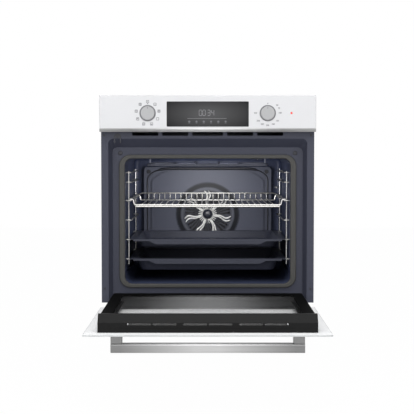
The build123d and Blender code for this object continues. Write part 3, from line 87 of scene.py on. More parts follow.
def stretched(tree, place, scale):
    """The coordinates scaled on each axis, for grain that runs one way."""
    mapping = tree.nodes.new("ShaderNodeMapping")
    mapping.inputs["Scale"].default_value = scale
    tree.links.new(place, mapping.inputs["Vector"])
    return mapping.outputs["Vector"]


def noise_of(tree, place, scale, detail=4.0):
    """A noise pattern, from 0 to 1."""
    noise = tree.nodes.new("ShaderNodeTexNoise")
    noise.inputs["Scale"].default_value = scale
    noise.inputs["Detail"].default_value = detail
    tree.links.new(place, noise.inputs["Vector"])
    return noise.outputs["Fac"]


def ramp_of(tree, factor, low, high, start=0.3, end=0.7):
    """A colour that runs between two tones as the factor rises."""
    ramp = tree.nodes.new("ShaderNodeValToRGB")
    ramp.color_ramp.elements[0].position = start
    ramp.color_ramp.elements[1].position = end
    ramp.color_ramp.elements[0].color = (*low, 1.0)
    ramp.color_ramp.elements[1].color = (*high, 1.0)
    tree.links.new(factor, ramp.inputs["Fac"])
    return ramp.outputs["Color"]


def spread_of(tree, factor, low, high):
    """A number that runs between two values as the factor rises."""
    spread = tree.nodes.new("ShaderNodeMapRange")
    spread.inputs["To Min"].default_value = low
    spread.inputs["To Max"].default_value = high
    tree.links.new(factor, spread.inputs["Value"])
    return spread.outputs["Result"]


def bump_of(tree, shader, factor, strength, depth):
    """A shallow relief from a pattern."""
    bump = tree.nodes.new("ShaderNodeBump")
    bump.inputs["Strength"].default_value = strength
    bump.inputs["Distance"].default_value = depth
    tree.links.new(factor, bump.inputs["Height"])
    tree.links.new(bump.outputs["Normal"], shader.inputs["Normal"])


def shade(tone, change):
    """A tone made a little lighter or darker."""
    return tuple(min(1.0, max(0.0, channel * change)) for channel in tone)


def coat_finish(name, tone, rough, metal=0.0, grain=(60,) * 3, vary=0.06, relief=0.05, coat=0.0, gloss=0.5):
    """A painted, enamelled, plated or moulded surface with fine grain."""
    material, tree, shader, place = new_finish(name)
    pattern = noise_of(tree, stretched(tree, place, grain), 8.0)
    colour = ramp_of(tree, pattern, shade(tone, 1 - vary), shade(tone, 1 + vary))
    tree.links.new(colour, shader.inputs["Base Color"])
    tree.links.new(spread_of(tree, pattern, rough * 0.85, rough * 1.15), shader.inputs["Roughness"])
    shader.inputs["Metallic"].default_value = metal
    shader.inputs["Specular IOR Level"].default_value = gloss
    shader.inputs["Coat Weight"].default_value = coat
    shader.inputs["Coat Roughness"].default_value = 0.08
    bump_of(tree, shader, pattern, relief, 0.0004)
    return material


def axis_of(tree, place, axis):
    """One coordinate of a place."""
    split = tree.nodes.new("ShaderNodeSeparateXYZ")
    tree.links.new(place, split.inputs["Vector"])
    return split.outputs[axis]


def maths(tree, operation, *values):
    """One sum, on other nodes' results or on plain numbers."""
    node = tree.nodes.new("ShaderNodeMath")
    node.operation = operation
    for socket, value in zip(node.inputs, values):
        if isinstance(value, bpy.types.NodeSocket):
            tree.links.new(value, socket)
        else:
            socket.default_value = value
    return node.outputs[0]


def tinted(tree, colour, tint):
    """A colour multiplied by another."""
    blend = tree.nodes.new("ShaderNodeMix")
    blend.data_type = "RGBA"
    blend.blend_type = "MULTIPLY"
    blend.inputs["Factor"].default_value = 1.0
    tree.links.new(colour, blend.inputs["A"])
    tree.links.new(tint, blend.inputs["B"])
    return blend.outputs["Result"]


print("material helpers ready")

# %% [markdown]
# The enamels come first: a satin white for the panel, a blue-grey for the front frame, a navy
# for the cavity and a blue-black for the trays. Enamel has a fine speckle, so its noise is fine.
# The plated, moulded and printed finishes differ only in tone, gloss and grain, so one helper
# makes them all.

# %% Enamel, metal, plastic and print finishes
finish = {
    "white_enamel": coat_finish("panel_white", (0.62, 0.62, 0.63), 0.45, vary=0.012, relief=0.02, coat=0.1),
    "frame_enamel": coat_finish("frame_blue_grey", (0.042, 0.045, 0.066), 0.45, vary=0.10, gloss=0.3),
    "cavity_enamel": coat_finish("cavity_navy", (0.046, 0.056, 0.104), 0.40, vary=0.14, gloss=0.2),
    "tray_enamel": coat_finish("tray_black_blue", (0.034, 0.037, 0.054), 0.42, vary=0.20, gloss=0.35),
    "screw_dark": coat_finish("screw_blued_and_painted_shade", (0.012, 0.013, 0.020), 0.45, vary=0.15),
    "hub_gloss": coat_finish("hub_blue_gloss", (0.022, 0.024, 0.036), 0.3, vary=0.12),
    "chrome_wire": coat_finish("bright_wire", (0.56, 0.55, 0.53), 0.28, metal=1.0, vary=0.05),
    # The blades' near-white tone is a painted glint of their polished steel.
    "blade_steel": coat_finish("blade_painted_glint", (0.95, 0.94, 0.91), 0.35, metal=0.1, vary=0.06),
    "galvanised": coat_finish("zinc_sheet", (0.42, 0.44, 0.46), 0.42, metal=0.9, grain=(9,) * 3, vary=0.16),
    "hard_steel": coat_finish("machined_steel", (0.42, 0.42, 0.43), 0.32, metal=0.9, vary=0.10),
    "heater_steel": coat_finish("scorched_tube_and_painted_shade", (0.035, 0.034, 0.038), 0.6, vary=0.25),
    "knob_grey": coat_finish("knob_satin_grey", (0.38, 0.38, 0.385), 0.5, grain=(200,) * 3, vary=0.04),
    "ring_grey": coat_finish("knob_ring_grey", (0.17, 0.17, 0.18), 0.4, vary=0.08),
    "profile_grey": coat_finish("profile_dark_grey", (0.06, 0.06, 0.062), 0.45, vary=0.08),
    "black_plastic": coat_finish("profile_black", (0.010,) * 3, 0.5, grain=(180,) * 3, vary=0.2, gloss=0.1),
    "gasket_rubber": coat_finish("gasket_brown", (0.042, 0.041, 0.038), 0.65, grain=(120,) * 3, vary=0.15),
    "wool": coat_finish("wool_straw", (0.62, 0.55, 0.36), 0.95, grain=(30, 90, 30), vary=0.3, relief=0.9),
    # The element's slate tone is lightened as painted light, to blend with the lit ceiling round it.
    "slate_tube": coat_finish("element_slate_painted_light", (0.150, 0.157, 0.195), 0.5, vary=0.15, gloss=0.2),
    "mark_grey": coat_finish("print_grey", (0.11, 0.11, 0.12), 0.6, vary=0.05),
    "level_grey": coat_finish("level_mark_grey", (0.026, 0.028, 0.040), 0.5, vary=0.05),
    "digit_grey": coat_finish("display_digit_grey", (0.22, 0.22, 0.23), 0.5, vary=0.04),
    "sign_grey": coat_finish("display_sign_grey", (0.11, 0.11, 0.12), 0.5, vary=0.04),
}
print(len(finish), "finishes")

# %% [markdown]
# The handle and the trim strip are brushed along their length. The grain is a noise squeezed
# hard on X, which draws long fine lines, and a painted highlight fades from the middle to the ends.

# %% Brushed aluminium
def brushed_finish(name, tone):
    """Aluminium with long fine brushing along X and a painted highlight, lighter in the middle."""
    material, tree, shader, place = new_finish(name)
    lines = noise_of(tree, stretched(tree, place, (3, 900, 900)), 1.0, 2.0)
    from_middle = maths(tree, "ABSOLUTE", axis_of(tree, place, "X"))
    # Painted highlight: lighter in the middle of X, darker towards both ends.
    painted_highlight = ramp_of(tree, from_middle, tone, shade(tone, 0.42), 0.03, 0.21)
    streaks = ramp_of(tree, lines, (0.88,) * 3, (1.0,) * 3)
    tree.links.new(tinted(tree, painted_highlight, streaks), shader.inputs["Base Color"])
    tree.links.new(spread_of(tree, lines, 0.26, 0.46), shader.inputs["Roughness"])
    shader.inputs["Metallic"].default_value = 1.0
    bump_of(tree, shader, lines, 0.12, 0.0002)
    return material


# The trim strip takes a lighter copy of the same aluminium: painted light, for the brighter reflection the
# strip shows.
finish["trim_metal"] = brushed_finish("trim_aluminium", (0.95, 0.95, 0.95))
finish["brushed_metal"] = brushed_finish("brushed_aluminium", (0.62, 0.62, 0.62))
print("brushed finishes for the trim strip and the handle")

# %% [markdown]
# The panes are clear glass, but the inner one carries a black printed border, and the white
# outer glass leaves a grey window in its middle. Both are masks made from plain coordinates,
# which mix an opaque shader with a see-through one. The inner pane also carries a painted
# reflection: a pale sheen in its middle and towards its front, painted into how much its clear
# part covers. A Fresnel node makes that painted sheen fade when the pane is looked at from above.

# %% Door glass
BORDER = 0.0285
WINDOW_REAR = 0.041
WINDOW_FRONT = 0.388
EDGE_TONE = (0.62, 0.63, 0.63)
EDGE_W = 0.0015
# The SHEEN numbers place and size the painted reflection on the inner pane.
SHEEN_REACH = 0.185
SHEEN_START = 0.05
SHEEN_END = 0.10
SHEEN_FRONT = 1.16
SHEEN_REAR = 0.25
GLASS_IOR = 1.45
OUTER_HALF_W = 0.20
OUTER_FRONT = 0.06
OUTER_REAR = 0.08


def rectangle(tree, place, half_x, low_y, high_y):
    """1 inside a rectangle of X and Y, 0 outside it."""
    across = maths(tree, "COMPARE", axis_of(tree, place, "X"), 0.0, half_x)
    middle_y = (low_y + high_y) / 2
    along = maths(tree, "COMPARE", axis_of(tree, place, "Y"), middle_y, high_y - middle_y)
    return maths(tree, "MULTIPLY", across, along)


def low_angle_sheen(tree, place, front_y):
    """How strongly the painted reflection covers a pane: most in the middle and towards its front, scaled
    by Fresnel.
    """
    from_middle = maths(tree, "ABSOLUTE", axis_of(tree, place, "X"))
    middle = spread_of(tree, from_middle, 1.0, 0.0)
    middle.node.interpolation_type = "SMOOTHSTEP"
    middle.node.inputs["From Max"].default_value = SHEEN_REACH
    depth = spread_of(tree, axis_of(tree, place, "Y"), SHEEN_FRONT, SHEEN_REAR)
    depth.node.inputs["From Min"].default_value = front_y + SHEEN_START
    depth.node.inputs["From Max"].default_value = front_y + SHEEN_END
    angle = tree.nodes.new("ShaderNodeFresnel")
    angle.inputs["IOR"].default_value = GLASS_IOR
    return maths(tree, "MULTIPLY", maths(tree, "MULTIPLY", middle, depth), angle.outputs["Fac"])


def printed_glass(name, print_tone, print_rough, glass_tone, cover, hole_box, sheet_box, painted_sheen=False):
    """Glass printed all over except inside a rectangle, with a grey ground edge; its clear part can also
    carry a painted reflection.
    """
    material, tree, shader, place = new_finish(name)
    clear = tree.nodes.new("ShaderNodeBsdfPrincipled")
    clear.inputs["Base Color"].default_value = (*glass_tone, 1.0)
    clear.inputs["Roughness"].default_value = 0.05
    clear.inputs["Alpha"].default_value = cover
    # The clear part's cover rises where the painted reflection lies.
    if painted_sheen:
        total = maths(tree, "ADD", low_angle_sheen(tree, place, hole_box[1]), cover)
        tree.links.new(total, clear.inputs["Alpha"])
    speckle = noise_of(tree, place, 400.0)
    colour = ramp_of(tree, speckle, shade(print_tone, 0.94), shade(print_tone, 1.04))
    edge = ramp_of(tree, rectangle(tree, place, *sheet_box), EDGE_TONE, (1.0,) * 3)
    tree.links.new(tinted(tree, colour, edge), shader.inputs["Base Color"])
    shader.inputs["Roughness"].default_value = print_rough
    shader.inputs["Specular IOR Level"].default_value = 0.004
    mix = tree.nodes.new("ShaderNodeMixShader")
    tree.links.new(rectangle(tree, place, *hole_box), mix.inputs["Fac"])
    tree.links.new(shader.outputs["BSDF"], mix.inputs[1])
    tree.links.new(clear.outputs["BSDF"], mix.inputs[2])
    tree.links.new(mix.outputs["Shader"], tree.nodes["Material Output"].inputs["Surface"])
    return material


def clear_glass(name, tone, rough, cover):
    """Plain glass with a faint smear in its gloss."""
    material, tree, shader, place = new_finish(name)
    smear = noise_of(tree, place, 14.0)
    tree.links.new(spread_of(tree, smear, rough, rough * 2), shader.inputs["Roughness"])
    shader.inputs["Base Color"].default_value = (*tone, 1.0)
    shader.inputs["Specular IOR Level"].default_value = 0.3
    shader.inputs["Alpha"].default_value = cover
    return material


pane_half = pane_high.x - BORDER
view_low = face_y - WINDOW_FRONT
view_high = face_y - WINDOW_REAR
opening = (pane_half, view_low, view_high)
sheet = (pane_high.x, pane_low.y, pane_high.y)
# The inner pane's pale clear tone is the colour of its painted reflection.
finish["inner_pane"] = printed_glass(
    "inner_pane_print", (0.003,) * 3, 0.5, (0.90,) * 3, 0.01, opening, sheet, painted_sheen=True
)
opening = (OUTER_HALF_W, view_low + OUTER_FRONT, view_high - OUTER_REAR)
sheet = (glass_high.x - EDGE_W, glass_low.y + EDGE_W, glass_high.y)
finish["outer_glass"] = printed_glass(
    "outer_glass_white", (0.94,) * 3, 0.3, (0.03,) * 3, 0.75, opening, sheet
)
finish["clear_glass"] = clear_glass("clear_pane", (0.15, 0.16, 0.16), 0.03, 0.04)
finish["bulb_glass"] = clear_glass("frosted_bulb", (0.80, 0.76, 0.66), 0.2, 0.6)
print("window of the inner pane", round(2 * pane_half, 3), "by", round(view_high - view_low, 3))

# %% [markdown]
# The display is one dark gloss panel, a little lighter in its middle. A soft round gradient
# centred on it paints that glow as painted light. The lamp beside it is a small red lens that
# shines by itself.
# The fan cover gets rings of tone by distance from its hub: hub, grille, rim and groove; the dark
# groove and the darker grille are painted shade.

# %% Display, indicator and fan cover
COVER_TONE = (0.105, 0.112, 0.150)
# Painted shade: the grille and the groove are darker than the cover's own enamel.
GRILLE_PAINTED_SHADE = (0.075, 0.078, 0.095)
RIM_TONE = (0.130, 0.138, 0.170)
GROOVE_PAINTED_SHADE = (0.004, 0.005, 0.010)
GRILLE_R = 0.0765
COVER_R = 0.0995
HUB_RINGS = ((0.0, COVER_TONE), (0.0138, COVER_TONE), (0.0145, GRILLE_PAINTED_SHADE))
RIM_RINGS = ((0.0785, RIM_TONE), (0.0815, RIM_TONE))
GROOVE_RINGS = ((0.0835, GROOVE_PAINTED_SHADE), (0.0970, GROOVE_PAINTED_SHADE))


def display_finish():
    """Smoked display glass with a painted glow, lighter towards the middle."""
    material, tree, shader, place = new_finish("display_smoke")
    mapping = tree.nodes.new("ShaderNodeMapping")
    middle = (window_low + window_high) / 2
    half = (window_high - window_low) / 2
    mapping.vector_type = "TEXTURE"
    mapping.inputs["Location"].default_value = middle
    mapping.inputs["Scale"].default_value = (half.x * 1.25, 1.0, half.z * 1.6)
    tree.links.new(place, mapping.inputs["Vector"])
    # Painted glow: a round gradient that lightens the middle of the display.
    painted_glow = tree.nodes.new("ShaderNodeTexGradient")
    painted_glow.gradient_type = "SPHERICAL"
    tree.links.new(mapping.outputs["Vector"], painted_glow.inputs["Vector"])
    colour = ramp_of(tree, painted_glow.outputs["Fac"], (0.008, 0.008, 0.009), (0.072, 0.072, 0.074), 0.05, 0.95)
    tree.links.new(colour, shader.inputs["Base Color"])
    shader.inputs["Roughness"].default_value = 0.4
    shader.inputs["Specular IOR Level"].default_value = 0.2
    return material


def lamp_finish():
    """A red lens, lit from within, brighter in the middle of its grain."""
    material, tree, shader, place = new_finish("indicator_red")
    grain = noise_of(tree, place, 300.0)
    colour = ramp_of(tree, grain, (0.55, 0.03, 0.02), (0.85, 0.06, 0.04))
    tree.links.new(colour, shader.inputs["Base Color"])
    tree.links.new(colour, shader.inputs["Emission Color"])
    shader.inputs["Emission Strength"].default_value = 0.6
    shader.inputs["Roughness"].default_value = 0.3
    return material


def cover_finish():
    """Slate enamel with painted shade in the groove round the grille and inside the grille."""
    material, tree, shader, place = new_finish("fan_cover_slate")
    mapping = tree.nodes.new("ShaderNodeMapping")
    mapping.vector_type = "TEXTURE"
    mapping.inputs["Location"].default_value = (0, 0, fan_z)
    tree.links.new(place, mapping.inputs["Vector"])
    flat = tree.nodes.new("ShaderNodeVectorMath")
    flat.operation = "MULTIPLY"
    flat.inputs[1].default_value = (1, 0, 1)
    tree.links.new(mapping.outputs["Vector"], flat.inputs[0])
    reach = tree.nodes.new("ShaderNodeVectorMath")
    reach.operation = "LENGTH"
    tree.links.new(flat.outputs["Vector"], reach.inputs[0])
    rings = ramp_of(tree, reach.outputs["Value"], GRILLE_PAINTED_SHADE, COVER_TONE, GRILLE_R, COVER_R)
    for radius, tone in (*HUB_RINGS, *RIM_RINGS, *GROOVE_RINGS):
        rings.node.color_ramp.elements.new(radius).color = (*tone, 1.0)
    grain = noise_of(tree, place, 480.0)
    speckle = ramp_of(tree, grain, (0.86,) * 3, (1.0,) * 3)
    tree.links.new(tinted(tree, rings, speckle), shader.inputs["Base Color"])
    tree.links.new(spread_of(tree, grain, 0.36, 0.46), shader.inputs["Roughness"])
    shader.inputs["Specular IOR Level"].default_value = 0.2
    bump_of(tree, shader, grain, 0.05, 0.0004)
    return material


finish["cover_enamel"] = cover_finish()
finish["display_dark"] = display_finish()
finish["lamp_red"] = lamp_finish()
print("display, lamp and fan cover finishes ready")

# %% [markdown]
# Each solid takes its finish by the slot it has in the record, apart from a few that share a
# slot but look different, such as the frame, the cavity and the trays, which are all enamelled.

# %% Finish every solid
OWN_FINISH = {
    "front_frame": "frame_enamel",
    "cavity_liner": "cavity_enamel",
    "fan_cover": "cover_enamel",
    "shallow_tray": "tray_enamel",
    "deep_tray": "tray_enamel",
    "door_outer_glass": "outer_glass",
    "door_inner_pane": "inner_pane",
    "door_switch_tab": "screw_dark",
    "frame_screws": "screw_dark",
    "fan_cover_screws": "screw_dark",
    # The impeller takes the dark heater finish as painted shade behind the grille.
    "convection_impeller": "heater_steel",
    "impeller_nut": "screw_dark",
    "door_rails": "black_plastic",
    "door_bottom_profile": "profile_grey",
    "air_duct": "screw_dark",
    "blower_housing": "screw_dark",
    "blower_drum": "screw_dark",
    "grill_element": "slate_tube",
    "trim_strip": "trim_metal",
}
for row in frame["record"]["subparts"]:
    node = row["node"]
    solid = frame["nodes"][node]
    choice = finish[OWN_FINISH.get(node, row["material_slot"])]
    if solid.material_slots:
        for slot in solid.material_slots:
            slot.material = choice
    else:
        solid.data.materials.append(choice)
print("finished", len(frame["nodes"]), "solids")

# %% [markdown]
# Small printed pieces are thin solids laid on their surface. A helper turns a finished bmesh
# into an object that rides on a body, and one more lays out flat text as a mesh.

# %% Piece helpers
PRINT_T = 0.00015
STROKE_GROWTH = 0.00012


def add_piece(name, shape, body, look):
    """Makes an object of a bmesh, gives it a finish and lets it ride on a body."""
    bmesh.ops.recalc_face_normals(shape, faces=shape.faces)
    mesh = bpy.data.meshes.new(name)
    shape.to_mesh(mesh)
    shape.free()
    piece = bpy.data.objects.new(name, mesh)
    bpy.context.scene.collection.objects.link(piece)
    mesh.materials.append(finish[look])
    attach(piece, body)
    return piece


def block(shape, centre, size, turn=0.0):
    """A rectangular bar in the panel's plane, turned about Y."""
    place = Matrix.Translation(centre) @ Matrix.Rotation(turn, 4, "Y") @ Matrix.Diagonal((*size, 1.0))
    bmesh.ops.create_cube(shape, size=1.0, matrix=place)


def disc(shape, centre, radius, thick, sides=20):
    """A small round button that faces the front."""
    place = Matrix.Translation(centre) @ Matrix.Rotation(math.pi / 2, 4, "X")
    bmesh.ops.create_cone(
        shape, cap_ends=True, segments=sides, radius1=radius, radius2=radius, depth=thick, matrix=place
    )


def print_text(shape, words, centre, height):
    """Plain characters as a thin mesh on a front-facing surface."""
    curve = bpy.data.curves.new("print_source", "FONT")
    curve.body = words
    curve.align_x = "CENTER"
    curve.align_y = "CENTER"
    curve.size = height
    curve.extrude = PRINT_T / 2
    curve.resolution_u = 3
    curve.offset = STROKE_GROWTH
    source = bpy.data.objects.new("print_source", curve)
    mesh = bpy.data.meshes.new_from_object(source)
    mesh.transform(Matrix.Translation(centre) @ Matrix.Rotation(math.pi / 2, 4, "X"))
    shape.from_mesh(mesh)
    bpy.data.objects.remove(source)
    bpy.data.curves.remove(curve)
    bpy.data.meshes.remove(mesh)


print("piece helpers ready")

# %% [markdown]
# The dials: nine function marks at even steps round the left knob, each a simple generic sign
# built from bars and dots, and plain numbers round the right knob. Each knob has a pointer line,
# which turns with it, and a dot stands over it on the panel.

# %% Dial prints
MARK_R = 0.0315
MARK_SIZE = 0.0066
FIGURE_H = 0.0058
FUNCTIONS = 9
DOT_OUT = 0.0265
DOT_R = 0.00132
FIGURE_OUT = 0.0335
HEAT_TURNS = {50: 50, 75: 67, 100: 89, 150: 129, 180: 154, 200: 181, 220: 206, 250: 231, 275: 270}
POINTER_OUT = 0.0145
POINTER_W = 0.0011
POINTER_L = 0.005
print_y = face_y - PRINT_T / 2


def around(x, turn_deg, radius=MARK_R):
    """A point on the panel's face round a knob, counted clockwise from the top."""
    turn = math.radians(turn_deg)
    return Vector((x + radius * math.sin(turn), print_y, knob_z + radius * math.cos(turn)))


def function_sign(shape, centre, kind):
    """A framed sign with one, two or three bars, as ovens print for their heating modes."""
    half = MARK_SIZE / 2
    line = MARK_SIZE / 6
    for side in (-1, 1):
        block(shape, centre + Vector((side * half, 0, 0)), (line, PRINT_T, MARK_SIZE))
        block(shape, centre + Vector((0, 0, side * half)), (MARK_SIZE, PRINT_T, line))
    if kind % 3 != 0:
        block(shape, centre + Vector((0, 0, -half * 0.5)), (MARK_SIZE * 0.6, PRINT_T, line))
    if kind % 3 == 2 or kind > 5:
        block(shape, centre + Vector((0, 0, half * 0.5)), (MARK_SIZE * 0.6, PRINT_T, line))
    if kind % 2 == 0:
        disc(shape, centre, MARK_SIZE * 0.16, PRINT_T, 10)


signs = bmesh.new()
disc(signs, around(-knob_x, 0, DOT_OUT), DOT_R, PRINT_T, 16)
for place in range(FUNCTIONS):
    function_sign(signs, around(-knob_x, 360 / FUNCTIONS * place), place)
add_piece("function_marks", signs, "chassis", "mark_grey")

numbers = bmesh.new()
disc(numbers, around(knob_x, 0, DOT_OUT), DOT_R, PRINT_T, 16)
for heat, turn_deg in HEAT_TURNS.items():
    print_text(numbers, str(heat), around(knob_x, turn_deg, FIGURE_OUT), FIGURE_H)
add_piece("temperature_marks", numbers, "chassis", "mark_grey")

for name, x in (("function", -knob_x), ("temperature", knob_x)):
    pointer = bmesh.new()
    tip = Vector((x, knob_low.y - PRINT_T / 2, knob_z + POINTER_OUT))
    block(pointer, tip, (POINTER_W, PRINT_T, POINTER_L))
    add_piece(f"{name}_pointer", pointer, f"{name}_button", "mark_grey")
print("dial prints done")

# %% [markdown]
# The clock is drawn in seven-segment digits: each digit is a set of short bars, so one table
# of which bars are lit is all it needs. A thin line and a row of plain touch signs sit below.

# %% Display digits and touch signs
LIT = {"0": "abcdef", "3": "abcdg", "4": "bcfg"}
DIGIT_H = 0.0152
DIGIT_W = 0.0072
BAR_T = 0.0013
DIGIT_DROP = 0.0482
DIGIT_PLACES = (("0", -0.0198), ("0", -0.0100), ("3", 0.0030), ("4", 0.0135))
RULE_X = -0.002
RULE_W = 0.107
RULE_T = 0.0008
RULE_DROP = 0.0636
SIGNS = 6
SIGN_X = -0.0505
SIGN_STEP = 0.0199
SIGN_R = 0.0030
SIGN_DROP = 0.0722
DASH_W = 0.0054
DASH_DROP = 0.0044
display_y = window_low.y - PRINT_T / 2
digit_z = fascia_high.z - DIGIT_DROP


def digit(shape, character, x):
    """One seven-segment figure centred on x."""
    half_w = DIGIT_W / 2
    half_h = DIGIT_H / 2
    upright = (BAR_T, PRINT_T, half_h - BAR_T)
    level = (DIGIT_W - BAR_T, PRINT_T, BAR_T)
    bars = {
        "a": ((0, half_h), level),
        "g": ((0, 0), level),
        "d": ((0, -half_h), level),
        "f": ((-half_w, half_h / 2), upright),
        "b": ((half_w, half_h / 2), upright),
        "e": ((-half_w, -half_h / 2), upright),
        "c": ((half_w, -half_h / 2), upright),
    }
    for name in LIT[character]:
        (shift_x, shift_z), size = bars[name]
        block(shape, Vector((x + shift_x, display_y, digit_z + shift_z)), size)


clock = bmesh.new()
for character, x in DIGIT_PLACES:
    digit(clock, character, x)
block(clock, Vector((RULE_X, display_y, fascia_high.z - RULE_DROP)), (RULE_W, PRINT_T, RULE_T))
add_piece("display_clock", clock, "chassis", "digit_grey")
touch = bmesh.new()
for place in range(SIGNS):
    centre = Vector((SIGN_X + SIGN_STEP * place, display_y, fascia_high.z - SIGN_DROP))
    disc(touch, centre, SIGN_R, PRINT_T, 6 if place % 2 else 18)
    block(touch, centre - Vector((0, 0, DASH_DROP)), (DASH_W, PRINT_T, RULE_T))
add_piece("display_signs", touch, "chassis", "sign_grey")
print("display done")

# %% [markdown]
# Shelf levels are stamped beside the cavity as small figures, hardly lighter than the enamel.

# %% Level figures
LEVEL_LOW_Z = 0.1345
LEVEL_STEP = 0.0555
LEVEL_ASIDE = 0.0075
LEVEL_H = 0.009
frame_plate_y = corners("door_gasket")[1].y
level_x = corners("cavity_liner")[0].x - LEVEL_ASIDE
levels = bmesh.new()
for level in range(1, 6):
    level_z = LEVEL_LOW_Z + LEVEL_STEP * (level - 1)
    print_text(levels, str(level), Vector((level_x, frame_plate_y - PRINT_T / 2, level_z)), LEVEL_H)
add_piece("level_figures", levels, "chassis", "level_grey")
print("level figures 1 to 5 done")

# %% [markdown]
# The four fixing holes in the front flange are closed by dark push-in plugs, as they are before
# the oven is screwed to its cabinet. Each is a disc whose front rim is bevelled to a low dome. The
# record says where the holes are, so the plugs follow them.

# %% Flange plugs
PLUG_R = 0.0034
PLUG_T = 0.0012
PLUG_EDGE_R = 0.0007
flange_y = corners("front_frame")[0].y
holes = next(mount for mount in frame["record"]["mounts"] if mount["name"] == "cabinet_screws")
holes_x, _, holes_z = holes["pos_m"]
half_x = holes["dims"]["spacing_x_mm"] / 2000
half_z = holes["dims"]["spacing_y_mm"] / 2000
plugs = bmesh.new()
for plug_x in (holes_x - half_x, holes_x + half_x):
    for plug_z in (holes_z - half_z, holes_z + half_z):
        disc(plugs, Vector((plug_x, flange_y - PLUG_T / 2, plug_z)), PLUG_R, PLUG_T)
plug_rims = [edge for edge in plugs.edges if all(v.co.y < flange_y - PLUG_T / 2 for v in edge.verts)]
bmesh.ops.bevel(
    plugs, geom=plug_rims, offset=PLUG_EDGE_R, segments=3, profile=0.5,
    affect="EDGES", clamp_overlap=True, material=-1,
)
add_piece("flange_plugs", plugs, "chassis", "screw_dark")
print("flange plugs done")

# %% [markdown]
# Each of the two round heads on the frame gets a ring of painted shade where it meets the plate.
# The ring is a small circle turned once round the head, half sunk into the plate.

# %% Painted shade round the screw heads
SHADE_RING_WIRE_R = 0.0009
heads_low, heads_high = corners("frame_screws")
head_r = (heads_high.z - heads_low.z) / 2
head_z = (heads_high.z + heads_low.z) / 2
head_shade_rings = bmesh.new()
for head_x in (heads_low.x + head_r, heads_high.x - head_r):
    middle = Vector((head_x, frame_plate_y, head_z))
    section_place = Matrix.Translation(middle + Vector((head_r, 0, 0)))
    section = bmesh.ops.create_circle(head_shade_rings, segments=8, radius=SHADE_RING_WIRE_R, matrix=section_place)["verts"]
    outline = section + list({edge for vertex in section for edge in vertex.link_edges})
    bmesh.ops.spin(
        head_shade_rings, geom=outline, cent=middle, axis=(0, 1, 0), angle=2 * math.pi, steps=32, use_merge=True
    )
# The rings are painted shade in the crease round each head, in the dark screw finish.
add_piece("screw_shade_rings", head_shade_rings, "chassis", "screw_dark")
print("screw rims done")

# %% [markdown]
# The blades of the fan's grille are polished strips with an S-bend, in pairs at seven turns, with
# short ribs round the hub; their near-white finish is a painted glint. Each starts as a flat grid
# that is bent and domed by a formula. One Solidify modifier then gives them all their thickness.

# %% Grille blades
BLADE_GROUPS = 7
BLADE_IN_R = 0.019
BLADE_OUT_R = 0.073
BLADE_W = 0.0050
BLADE_STEPS = 14
BLADE_DOME = 0.0014
BLADE_T = 0.0008
BLADE_START_DEG = 87.0
SWIRL_WAVE_DEG = 5.0
SWIRL_LEAN_DEG = 6.0
PAIR_APART_DEG = 3.2
PAIR_SPREAD_DEG = 1.6
RIBS = 28
RIB_IN_R = 0.0155
RIB_OUT_R = 0.029
RIB_W = 0.0013
RIB_LEAN_DEG = 4.0
GRILLE_PROUD = 0.0012
grille_y = cover_low.y - GRILLE_PROUD


def swirl(step):
    """How far a blade has turned, in degrees, along its length from 0 to 1."""
    return SWIRL_WAVE_DEG * math.sin(2 * math.pi * step) + SWIRL_LEAN_DEG * step


def strip(shape, turn_deg, bend, inner_r, outer_r, width_of):
    """One polished strip from an inner to an outer radius, bent and domed."""
    made = bmesh.ops.create_grid(shape, x_segments=BLADE_STEPS, y_segments=4, size=0.5)
    for vertex in made["verts"]:
        step = vertex.co.x + 0.5
        across = 2 * vertex.co.y
        radius = inner_r + (outer_r - inner_r) * step
        turn = math.radians(turn_deg + bend(step))
        out = Vector((math.cos(turn), 0, math.sin(turn)))
        side = Vector((-math.sin(turn), 0, math.cos(turn)))
        dome = BLADE_DOME * (1 - across**2)
        spot = Vector((0, grille_y, fan_z)) + out * radius + side * across * width_of(step) / 2
        vertex.co = spot - Vector((0, dome, 0))


def blade_width(step):
    """Narrow at the hub, widest in the outer half, rounded off at the tip."""
    return BLADE_W * (0.30 + 0.70 * step) * math.sqrt(max(0.04, 1 - step**8))


blades = bmesh.new()
for group in range(BLADE_GROUPS):
    group_turn = BLADE_START_DEG + 360 / BLADE_GROUPS * group
    for pair in (-1, 1):
        strip(
            blades, group_turn,
            lambda step: swirl(step) + pair * (PAIR_APART_DEG + PAIR_SPREAD_DEG * step),
            BLADE_IN_R, BLADE_OUT_R, blade_width,
        )
for rib in range(RIBS):
    strip(
        blades, 360 / RIBS * (rib + 0.5), lambda step: RIB_LEAN_DEG * step,
        RIB_IN_R, RIB_OUT_R, lambda step: RIB_W,
    )
strips = add_piece("grille_blades", blades, "chassis", "blade_steel")
thick = strips.modifiers.new("thickness", "SOLIDIFY")
thick.thickness = BLADE_T
thick.offset = 1.0
print("grille blades:", len(strips.data.polygons), "faces")

# %% [markdown]
# The hub of the grille is a dark glossy dome: a sphere pressed flat along the depth, with its
# rear half sunk into the cover.

# %% Hub dome
HUB_R = 0.0135
HUB_FLAT = 0.45
hub_place = Matrix.Translation((0, grille_y, fan_z)) @ Matrix.Diagonal((1, HUB_FLAT, 1, 1))
dome = bmesh.new()
bmesh.ops.create_uvsphere(dome, u_segments=32, v_segments=16, radius=HUB_R, matrix=hub_place)
for face in dome.faces:
    face.smooth = True
add_piece("hub_dome", dome, "chassis", "hub_gloss")
print("hub dome done")

# %% [markdown]
# A band of painted shadow follows the arched shoulders of the fan cover, where its raised middle
# steps down. It is a bevelled curve, half sunk into the cover, turned into a mesh at once.

